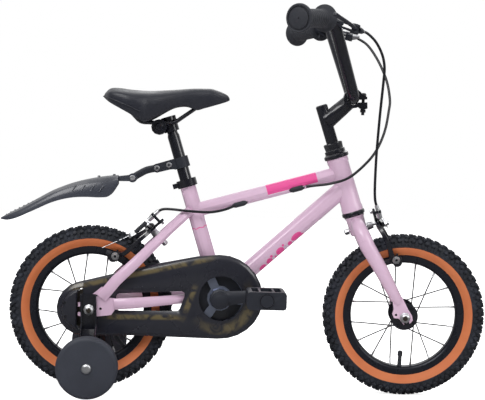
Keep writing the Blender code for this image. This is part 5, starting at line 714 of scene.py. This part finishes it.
def makeArm(end, s, drop):
    # forged arm: round boss, bowed limb that grows toward the foot, slotted foot for the pad
    own = brakes[end]
    place, hand, bow, forward, across = (own[key] for key in ("place", "hand", "bow", "forward", "across"))
    upper = s == hand
    side = "right" if upper else "left"
    body = "%s_brake_arm_%s" % (end, side)
    middle = own["shift"] - (caliper["half"] if upper else -caliper["half"])
    reach, inlet, bar = caliper["reach"], caliper["inlet"], caliper["bar"]
    bolt, outward = (1.0, 0.0, 0.0), (0.0, s, 0.0)
    foot = Vector((forward, reach * s, -drop))
    bm = bmesh.new()
    limb = smoothPath([(middle, 4.0 * s, -1.0), (middle, 19.0 * s, -4.0),
                       (middle + bow * 0.4, 32.0 * s, -16.0), (middle + bow * 0.8, 37.0 * s, -32.0),
                       (middle + bow, 34.5 * s, -drop + 20.0),
                       (forward * 0.5 + 1.5, (reach + 2.0) * s, -drop + 9.0)], 4)
    addBand(bm, limb, lambda i: bar + own["growth"] * (i / (len(limb) - 1)) ** 1.3,
            lambda i: 17.0 - 8.5 * min(1.0, i / 14), bolt)
    addTurned(bm, (middle, 0.0, 0.0), bolt, caliper["boss" if upper else "lowerBoss"])
    for x in (-caliper["prongs"], caliper["prongs"]):
        addBox(bm, foot + Vector((x - 1.5, 1.2 * s, 3.0)), caliper["prong"])
    addTurned(bm, foot, outward, caliper["washers"])
    addTurned(bm, foot + Vector((1.0, 0.0, -4.5)), outward, caliper["lip"])
    if upper:
        tail, thin = [(middle, 0.0, 0.0), (middle, 9.0 * s, 14.0), (middle, inlet * s, 25.0)], 4.0
        addBox(bm, ((middle + across) / 2 + 1.0, inlet * s, 21.0), (across - middle + 8.0, 11.0, 5.0))
    else:
        tail, thin = [(middle, 0.0, 0.0)] + [(x, y * hand, z) for x, y, z in own["tail"]], 5.5
    addBand(bm, smoothPath(tail, 4), bar, lambda i: 15.0 - thin * i / 8, bolt)
    finishPiece(bm, body + "Skin", "blackPaint", body, place, 38.0, body, 0.5)
    # the pad's nut, then on the upper arm the barrel adjuster and on the lower one the wire's anchor
    bm = bmesh.new()
    addTurned(bm, foot, outward, caliper["padNut"])
    addScrew(bm, foot + Vector((0.0, 4.4 * s, 0.0)), outward, 5.6, 5.0)
    if upper:
        addTurned(bm, (across, inlet * s, 0.0), (0.0, 0.0, 1.0), caliper["adjuster"])
        addTurned(bm, (middle, inlet * s, 26.0), bolt, caliper["adjusterNut"])
        addTurned(bm, (middle, 0.0, 0.0), bolt, caliper["boltNut"])
    else:
        x, y, z = own["tail"][-1]
        addTurned(bm, (x, y * hand, z), bolt, caliper["anchor"])
        addTube(bm, smoothPath([(x, y * hand, z) for x, y, z in own["wire"]], 5), 0.8, 8)
    finishPiece(bm, body + "Fittings", "zinc", body, place, 35.0, bevel=0.2)
    # each pad is turned a little so that it lies along its rim
    pad = "%s_brake_pad_%s" % (end, side)
    centre = boxMiddle(pad, place)
    axle = place.inverted() @ own["wheel"].translation
    lean = math.atan2(centre.x - axle.x, centre.z - axle.z)
    spot = worldPlace.inverted() @ place @ Matrix.Translation(centre)
    polished(pad, "blackRubber", 50.0, 0.6, turn=spot @ Matrix.Rotation(lean, 4, "Y") @ spot.inverted())


boot = {"start": (14.5, 20.7, 2.5), "stop": (14.9, 21.6, -25.0), "ribs": 8, "radius": 4.6, "waist": 0.78}


def makeBoot():
    # ribbed rubber boot over the rear brake's bare wire
    bm = bmesh.new()
    steps = boot["ribs"] * 4
    points = [Vector(boot["start"]).lerp(Vector(boot["stop"]), i / steps) for i in range(steps + 1)]
    addTube(bm, points, boot["radius"], 16, lambda i: 1.0 if i % 4 in (1, 2) else boot["waist"])
    finishPiece(bm, "wireBoot", "blackRubber", "rear_brake_arm_left", brakes["rear"]["place"], 60.0)


for end in brakes:
    drop = -boxMiddle(end + "_brake_pad_right", brakes[end]["place"]).z
    for s in (-1, 1):
        makeArm(end, s, drop)
makeBoot()
print("brakes")


# Cables

cable = {"radius": 2.45,
         "front": [(104.0, -88.0, 310.0), (113.0, -84.5, 303.5), (123.5, -78.2, 284.6), (128.6, -67.8, 260.5),
                   (127.0, -59.0, 238.0), (118.5, -51.5, 213.4), (99.6, -38.9, 165.7), (84.5, -32.7, 127.0),
                   (69.8, -27.3, 88.0), (56.6, -23.2, 50.0), (48.2, -21.2, 24.0), (44.4, -20.6, 8.0),
                   (44.0, -20.5, -2.0)],
         "rear": [(488.4, 104.0, 667.5), (506.8, 92.0, 654.6), (522.8, 76.0, 630.5), (535.3, 60.0, 602.7),
                  (542.7, 46.0, 577.0), (546.0, 33.0, 548.1), (543.9, 26.0, 529.5), (534.8, 8.0, 489.4),
                  (518.0, -8.0, 452.7), (495.3, -20.0, 425.4), (465.2, -27.0, 400.6), (433.7, -25.0, 389.7),
                  (404.9, -18.0, 384.9), (390.0, -13.5, 382.2)],
         "stay": [(262.0, -11.0, 344.5), (242.5, -17.0, 336.5), (221.6, -22.5, 331.6), (205.0, -25.0, 330.6),
                  (185.6, -26.0, 331.2), (165.1, -25.5, 332.4), (148.0, -23.8, 333.8), (134.0, -21.8, 334.2),
                  (126.5, -20.9, 333.2), (121.6, -20.5, 331.0), (117.6, -20.5, 327.4)]}


def makeCable(run, name, body, place, replaced=None):
    bm = bmesh.new()
    addTube(bm, smoothPath(cable[run], 8), cable["radius"], 14)
    return finishPiece(bm, name, "sleeve", body, place, 80.0, replaced)


makeCable("front", "frontCableSkin", "steering", steerPlace, "front_brake_cable")
makeCable("stay", "stayCable", "frame", worldPlace)
# the rear one runs between handlebar and frame, and is hung on neither body
piece = makeCable("rear", "rearCableSkin", None, worldPlace)
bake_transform(piece)
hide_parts("rear_brake_cable")
print("cables")


# Cranks, pedals and case

drive = {"cap": [(64.0, 13.2), (66.6, 13.2), (67.2, 12.2), (67.0, 10.6), (68.0, 8.0), (68.6, 4.0),
                 (68.8, 0.0)],
         "ring": [(-1.0, 10.6), (0.4, 11.0), (0.4, 12.0), (-1.0, 12.4)],
         "reflectorAt": 33.85, "reflectorSize": (1.2, 44.0, 9.0)}


def makeCrankCap(side):
    # domed dust cap over the spindle's bolt
    bm = bmesh.new()
    spinProfile(bm, [(y * side, r) for y, r in drive["cap"]], 48)
    finishPiece(bm, "crankCap%d" % (side + 1), "blackPlastic", "crank", crankPlace)


def makePedalParts(name, side):
    # the dark ring round the dust cap, and a reflector front and back
    low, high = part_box("pedal_" + name)
    place = Matrix.Translation((Vector(low) + Vector(high)) / 2) @ Matrix.Scale(0.001, 4)
    face = (high[1] - low[1]) * 1000 / 2
    bm = bmesh.new()
    spinProfile(bm, [(side * (face + out), radius) for out, radius in drive["ring"]], 48, closed=True)
    finishPiece(bm, "pedalCapRing" + name, "blackPaint", "pedal_" + name, place)
    bm = bmesh.new()
    for end in (-1, 1):
        addBox(bm, (end * drive["reflectorAt"], 0.0, 0.0), drive["reflectorSize"])
    finishPiece(bm, "pedalReflectors" + name, "reflector", "pedal_" + name, place, bevel=0.3)


def makeCaseParts():
    # inner wall behind the chainring, and the rear cover's small screws
    bm = bmesh.new()
    spinProfile(bm, case["wall"], 64, closed=True)
    bm.transform(Matrix.Translation(bike["shell"]))
    finishPiece(bm, "caseInnerWall", "blackPlastic", "frame")
    bm = bmesh.new()
    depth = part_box("chain_case_rear_cover")[0][1] * 1000 + case["screwSunk"]
    for x, z in case["screws"]:
        addScrew(bm, (x, depth, z), (0.0, -1.0, 0.0), case["screwRadius"], case["screwLength"])
    finishPiece(bm, "caseScrews", "blackPaint", "frame")


for name, side in (("right", -1), ("left", 1)):
    makeCrankCap(side)
    makePedalParts(name, side)
makeCaseParts()
print("drive")


# Saddle

# each station: x, top, lower edge of the side, half width, depth below the top
saddle = {"stations": [(14.5, 541.0, 534.0, 30.0, 6.0), (26.0, 551.6, 524.5, 60.0, 15.0),
                       (44.0, 552.6, 514.5, 70.5, 19.5), (64.0, 550.4, 504.0, 75.0, 21.0),
                       (88.0, 549.2, 491.0, 71.0, 22.0), (106.0, 549.6, 497.5, 58.0, 22.0),
                       (136.0, 552.2, 515.5, 37.0, 22.0), (152.0, 553.8, 521.0, 30.5, 22.0),
                       (168.0, 555.6, 521.6, 26.0, 22.0), (184.0, 556.8, 516.0, 23.5, 22.0),
                       (198.0, 557.0, 520.0, 22.5, 21.0), (214.0, 556.4, 525.0, 20.5, 20.0),
                       (238.0, 547.6, 533.0, 12.5, 9.0), (244.5, 540.0, 537.0, 4.0, 2.0)],
          "parts": 4, "pipingEnd": 84.0, "pipingRadius": 1.15, "baseShare": 0.72}


def saddleStations():
    # width and depth ride along as two more curves
    stations, parts = saddle["stations"], saddle["parts"]
    shape = smoothPath([(x, top, skirt) for x, top, skirt, half, depth in stations], parts)
    width = smoothPath([(x, half, depth) for x, top, skirt, half, depth in stations], parts)
    return [(a.x, a.y, a.z, b.y, b.z) for a, b in zip(shape, width)]


def makeSaddle():
    rings, seam = [], []
    for x, top, skirt, half, depth in saddleStations():
        tall = top - skirt
        under = max(skirt + 1.5, top - depth)
        side = [(0.0, top - 0.6), (0.16, top - 0.2), (0.32, top), (0.62, top - 1.6), (0.86, top - 6.5),
                (0.97, top - tall * 0.28), (1.0, skirt + tall * 0.55), (0.985, skirt + tall * 0.2),
                (0.95, skirt), (0.88, skirt + 1.2), (0.74, under - 1.0), (0.4, under), (0.0, under)]
        right = [Vector((x, -part * half, z)) for part, z in side]
        left = [Vector((x, part * half, z)) for part, z in reversed(side[1:-1])]
        rings.append(right + left)
        if x < saddle["pipingEnd"]:
            seam.append((x, half * 0.992 + 0.2, skirt + tall * 0.3))
    bm = bmesh.new()
    skinRings(bm, rings)
    piece = finishPiece(bm, "saddleCoverSkin", "saddleVinyl", "saddle", worldPlace, 60.0, "saddle_cover",
                        levels=1)
    # piping round the back, from one side's front end to the other's
    bm = bmesh.new()
    seam = [(x, -y, z) for x, y, z in reversed(seam)] + seam
    addTube(bm, smoothPath(seam, 2), saddle["pipingRadius"], 10)
    finishPiece(bm, "saddlePiping", "saddleVinyl", "saddle", worldPlace, 60.0)


def makeSaddleBase():
    # the moulded shell under the cover, drawn in so that the skirt hides it
    rings = []
    for x, top, skirt, half, depth in saddleStations()[4:-3]:
        under = max(skirt + 2.0, top - depth)
        wide = half * saddle["baseShare"]
        rings.append([Vector((x, -wide, skirt + 3.0)), Vector((x, -wide * 0.9, skirt + 1.6)),
                      Vector((x, 0.0, under - 3.0)), Vector((x, wide * 0.9, skirt + 1.6)),
                      Vector((x, wide, skirt + 3.0)), Vector((x, 0.0, under - 0.5))])
    bm = bmesh.new()
    skinRings(bm, rings)
    finishPiece(bm, "saddleBaseSkin", "blackPlastic", "saddle", replaced="saddle_base")


makeSaddle()
makeSaddleBase()
print("saddle")


# Mudguard

guard = {"ridge": [(-169.5, 309.2), (-155.0, 318.2), (-136.0, 327.6), (-110.0, 342.2), (-79.3, 360.0),
                   (-56.0, 370.6), (-33.1, 378.9), (-10.0, 385.0), (13.5, 389.8), (30.0, 392.2),
                   (44.0, 393.4)],
         "edge": [(-169.5, 306.8), (-155.0, 306.0), (-136.0, 311.6), (-110.0, 324.1), (-79.3, 338.9),
                  (-56.0, 346.9), (-33.1, 351.3), (-10.0, 352.5), (13.5, 352.3), (30.0, 356.0),
                  (44.0, 376.5)],
         "half": [6.0, 19.0, 27.0, 31.6, 34.0, 34.4, 34.1, 33.5, 32.0, 29.0, 24.0], "wall": 2.0,
         "section": [(1.0, 1.0), (0.985, 0.72), (0.93, 0.42), (0.84, 0.26), (0.8, 0.26), (0.55, 0.1),
                     (0.28, 0.02), (0.0, 0.0)],
         "flankRibs": (-34.0, -17.5, -1.0, 15.5), "rivets": ((8.0, 389.0), (36.0, 392.6)), "tailRibs": 9,
         "linkPivot": (114.3, 0.0, 408.1), "bladePivot": (69.9, 0.0, 388.9), "fork": (136.2, 0.0, 414.5)}


def makeBlade():
    ridge = smoothPath([(x, 0.0, z) for x, z in guard["ridge"]], 4)
    edge = smoothPath([(x, half, z) for (x, z), half in zip(guard["edge"], guard["half"])], 4)
    rings = []
    for top, low in zip(ridge, edge):
        fall, half = top.z - low.z, low.y
        over = [(part * half, top.z - fall * down) for part, down in guard["section"]]
        outer = [(-y, z) for y, z in over] + over[-2::-1]
        wall = min(guard["wall"], half * 0.12)
        inner = [(y * (half - wall) / half, max(low.z, z - wall)) for y, z in reversed(outer)]
        rings.append([Vector((top.x, y, z)) for y, z in outer + inner])
    bm = bmesh.new()
    skinRings(bm, rings)
    # the blade's two cheeks at its pivot, two rivets, and faint ribs on the flanks and the tail
    pivot = Vector(guard["bladePivot"])
    for side in (-1, 1):
        cheek = Vector((0.0, side, 0.0))
        neck = smoothPath([(20.0, 8.2 * side, 386.5), (46.0, 8.2 * side, 387.0), pivot + cheek * 8.2], 4)
        addBand(bm, neck, 3.6, lambda i: 6.0 + i * 0.8, (0.0, 1.0, 0.0))
        addTurned(bm, pivot, cheek, [(6.4, 10.2, 8.3, 24)])
        for x in guard["flankRibs"]:
            addRod(bm, (x - 4.0, 33.0 * side, 363.0), (x + 3.0, 31.2 * side, 374.0), 0.9, 8)
    for x, z in guard["rivets"]:
        addRod(bm, (x, 0.0, z), (x, 0.0, z + 2.4), 3.0, 16, 2.0)
    for k in range(guard["tailRibs"]):
        x, z = -160.0 + k * 8.0, 315.6 + k * 4.15
        addRod(bm, (x, -2.0 - k, z), (x, 2.0 + k, z), 0.9, 8)
    finishPiece(bm, "mudguardBladeSkin", "guardPlastic", "mudguard_blade", worldPlace, 30.0, "mudguard_blade")


def makeLink():
    bm = bmesh.new()
    path = smoothPath([guard["linkPivot"], (96.0, 0.0, 404.0), (82.0, 0.0, 396.6), guard["bladePivot"]], 6)
    addBand(bm, path, 11.8, 13.2, (0.0, 1.0, 0.0))
    for place in (path[0], path[-1]):
        addTurned(bm, place, (0.0, 1.0, 0.0), [(-6.0, 6.0, 8.2, 32)])
    finishPiece(bm, "mudguardLinkSkin", "blackPlastic", "mudguard_link", worldPlace, 35.0, "mudguard_link",
                0.5)


def makeGuardScrews(name, body, places):
    bm = bmesh.new()
    for x, y, z in places:
        for side in (-1, 1):
            addScrew(bm, (x, 10.3 * side, z), (0.0, side, 0.0), 5.2, 2.6, 0.45)
    finishPiece(bm, name, "zinc", body, worldPlace, 35.0)


makeBlade()
makeLink()
makeGuardScrews("strapScrews", "seatpost", [guard["linkPivot"], guard["fork"]])
makeGuardScrews("bladeScrew", "mudguard_blade", [guard["bladePivot"]])
print("mudguard")


# Stabilisers

trainer = {"radius": 53.6, "half": 14.0, "x": 6.6, "y": 175.0, "z": 63.6, "ridges": 5, "pitch": 4.5,
           "groove": 0.8,
           "bolt": [(-0.2, 8.7), (1.2, 8.7), (2.8, 7.4), (3.9, 5.0), (4.3, 2.0), (4.3, 0.0)]}


def makeStabiliserWheel(name, side):
    # solid moulded wheel: flat face, fine ridges round the tread, domed bolt head
    radius, half, low = trainer["radius"], trainer["half"], trainer["radius"] - trainer["groove"]
    outline = [(half, 0.0), (half, radius - 7.0), (half - 0.8, radius - 3.0), (half - 2.6, radius - 0.9)]
    for k in range(trainer["ridges"]):
        y = half - 4.0 - k * trainer["pitch"]
        outline += [(y, radius), (y - 1.6, radius), (y - 2.1, low), (y - 3.9, low)]
    outline = [p for p in outline if p[0] > -half + 3.0]
    outline += [(-half + 2.0, low), (-half, radius - 5.0), (-half, 12.0), (-half + 6.0, 11.0),
                (-half + 6.0, 5.0)]
    place = worldPlace @ Matrix.Translation((trainer["x"], trainer["y"] * side, trainer["z"]))
    bm = bmesh.new()
    spinProfile(bm, [(y * side, r) for y, r in outline], 96)
    body = "stabiliser_wheel_" + name
    finishPiece(bm, "stabiliserWheel" + name, "wheelPlastic", body, place, 32.0, body)
    bm = bmesh.new()
    spinProfile(bm, [((half + y) * side, r) for y, r in trainer["bolt"]], 40)
    finishPiece(bm, "stabiliserBolt" + name, "zinc", "frame", place, 50.0)


for name, side in (("right", -1), ("left", 1)):
    makeStabiliserWheel(name, side)
print("stabilisers")


# Floor, light and camera

# each lamp: where it stands, what it points at, its size and its power
studio = {"floor": 12.0, "white": 0.8, "mirrored": 0.8, "low": 0.09, "above": 0.5, "behind": 0.45,
          "lamps": {"keyLamp": ((-1.3, -1.9, 2.5), (0.0, 0.0, 0.3), 1.7, 48.0),
                    "fillLamp": ((2.1, -1.7, 1.9), (0.0, 0.0, 0.3), 1.4, 22.0),
                    "backLamp": ((0.4, 2.0, 2.0), (0.0, 0.0, 0.4), 1.6, 14.0)}}


def makeFloor():
    bm = bmesh.new()
    bmesh.ops.create_grid(bm, x_segments=1, y_segments=1, size=studio["floor"] / 2)
    mesh = bpy.data.meshes.new("studioFloor")
    bm.to_mesh(mesh)
    bm.free()
    floor = addObject("studioFloor", mesh)
    # white paper: it shows white to the camera, and hardly at all in the bicycle's gloss
    material, tree, shader = newMaterial("paleStudioPaper", "#FFFFFF", {"Roughness": 0.9})[:3]
    path = addNode(tree, "LightPath").outputs
    white = addNode(tree, "Emission", {"Color": (1.0, 1.0, 1.0, 1.0), "Strength": studio["white"]})
    nothing = addNode(tree, "Emission", {"Strength": 0.0})
    lift = addNode(tree, "MixShader", {0: path["Is Camera Ray"], 1: nothing, 2: white})
    share = addNode(tree, "Math", {0: path["Is Glossy Ray"], 1: studio["mirrored"]}, operation="MULTIPLY")
    lit = addNode(tree, "MixShader", {0: share, 1: shader, 2: nothing})
    setInputs(tree, tree.nodes["Material Output"], {"Surface": addNode(tree, "AddShader", {0: lit, 1: lift})})
    mesh.materials.append(material)


def makeLamp(name, where, target, size, power):
    lamp = bpy.data.lights.new(name, "AREA")
    lamp.size = size
    lamp.energy = power
    holder = addObject(name, lamp)
    holder.location = where
    holder.rotation_euler = (Vector(target) - Vector(where)).to_track_quat("-Z", "Y").to_euler()


def makeWorld():
    world = bpy.data.worlds.new("paleStudio")
    bpy.context.scene.world = world
    world.use_nodes = True
    tree = world.node_tree
    # dark toward the camera, bright above and behind, as a studio with one white end
    place = addNode(tree, "TexCoord").outputs["Generated"]
    way = addNode(tree, "SeparateXYZ", {"Vector": place}).outputs
    above = addNode(tree, "MapRange", {"Value": way["Z"], "From Min": 0.1, "From Max": 0.9,
                                       "To Min": studio["low"], "To Max": studio["low"] + studio["above"]},
                    interpolation_type="SMOOTHSTEP")
    behind = addNode(tree, "MapRange", {"Value": way["Y"], "From Min": -0.1, "From Max": 0.9,
                                        "To Max": studio["behind"]}, interpolation_type="SMOOTHSTEP")
    glow = addNode(tree, "Math", {0: above, 1: behind}, operation="ADD")
    path = addNode(tree, "LightPath").outputs
    seen = addNode(tree, "Math", {0: path["Is Camera Ray"], 1: path["Is Transmission Ray"]},
                   operation="MAXIMUM")
    level = addNode(tree, "MapRange", {"Value": seen, "To Min": glow, "To Max": 1.0})
    setInputs(tree, tree.nodes["Background"], {"Color": (1.0, 1.0, 1.0, 1.0), "Strength": level})


makeFloor()
makeWorld()
for name, lamp in studio["lamps"].items():
    makeLamp(name, *lamp)

# the photograph's viewpoint, worked out from the bicycle's known sizes
shot = {"place": (168.439, -2564.939, 456.953), "yaw": 2.35, "pitch": -2.30, "roll": 1.76, "lens": 103.05}


def makeCamera():
    yaw, pitch, roll = (math.radians(shot[key]) for key in ("yaw", "pitch", "roll"))
    ahead = Vector((math.sin(yaw) * math.cos(pitch), math.cos(yaw) * math.cos(pitch), math.sin(pitch)))
    level = Vector((math.cos(yaw), -math.sin(yaw), 0.0))
    upright = level.cross(ahead)
    right = math.cos(roll) * level + math.sin(roll) * upright
    up = math.cos(roll) * upright - math.sin(roll) * level
    data = bpy.data.cameras.new("photoCamera")
    data.lens = shot["lens"]
    data.sensor_width = 36.0
    data.sensor_fit = "HORIZONTAL"
    camera = addObject("photoCamera", data)
    turn = Matrix((right, up, -ahead)).transposed().to_4x4()
    camera.matrix_world = Matrix.Translation(worldPlace @ Vector(shot["place"])) @ turn
    bpy.context.scene.camera = camera


makeCamera()
bpy.context.scene.view_settings.view_transform = "Standard"
print("stage, lamps and camera")
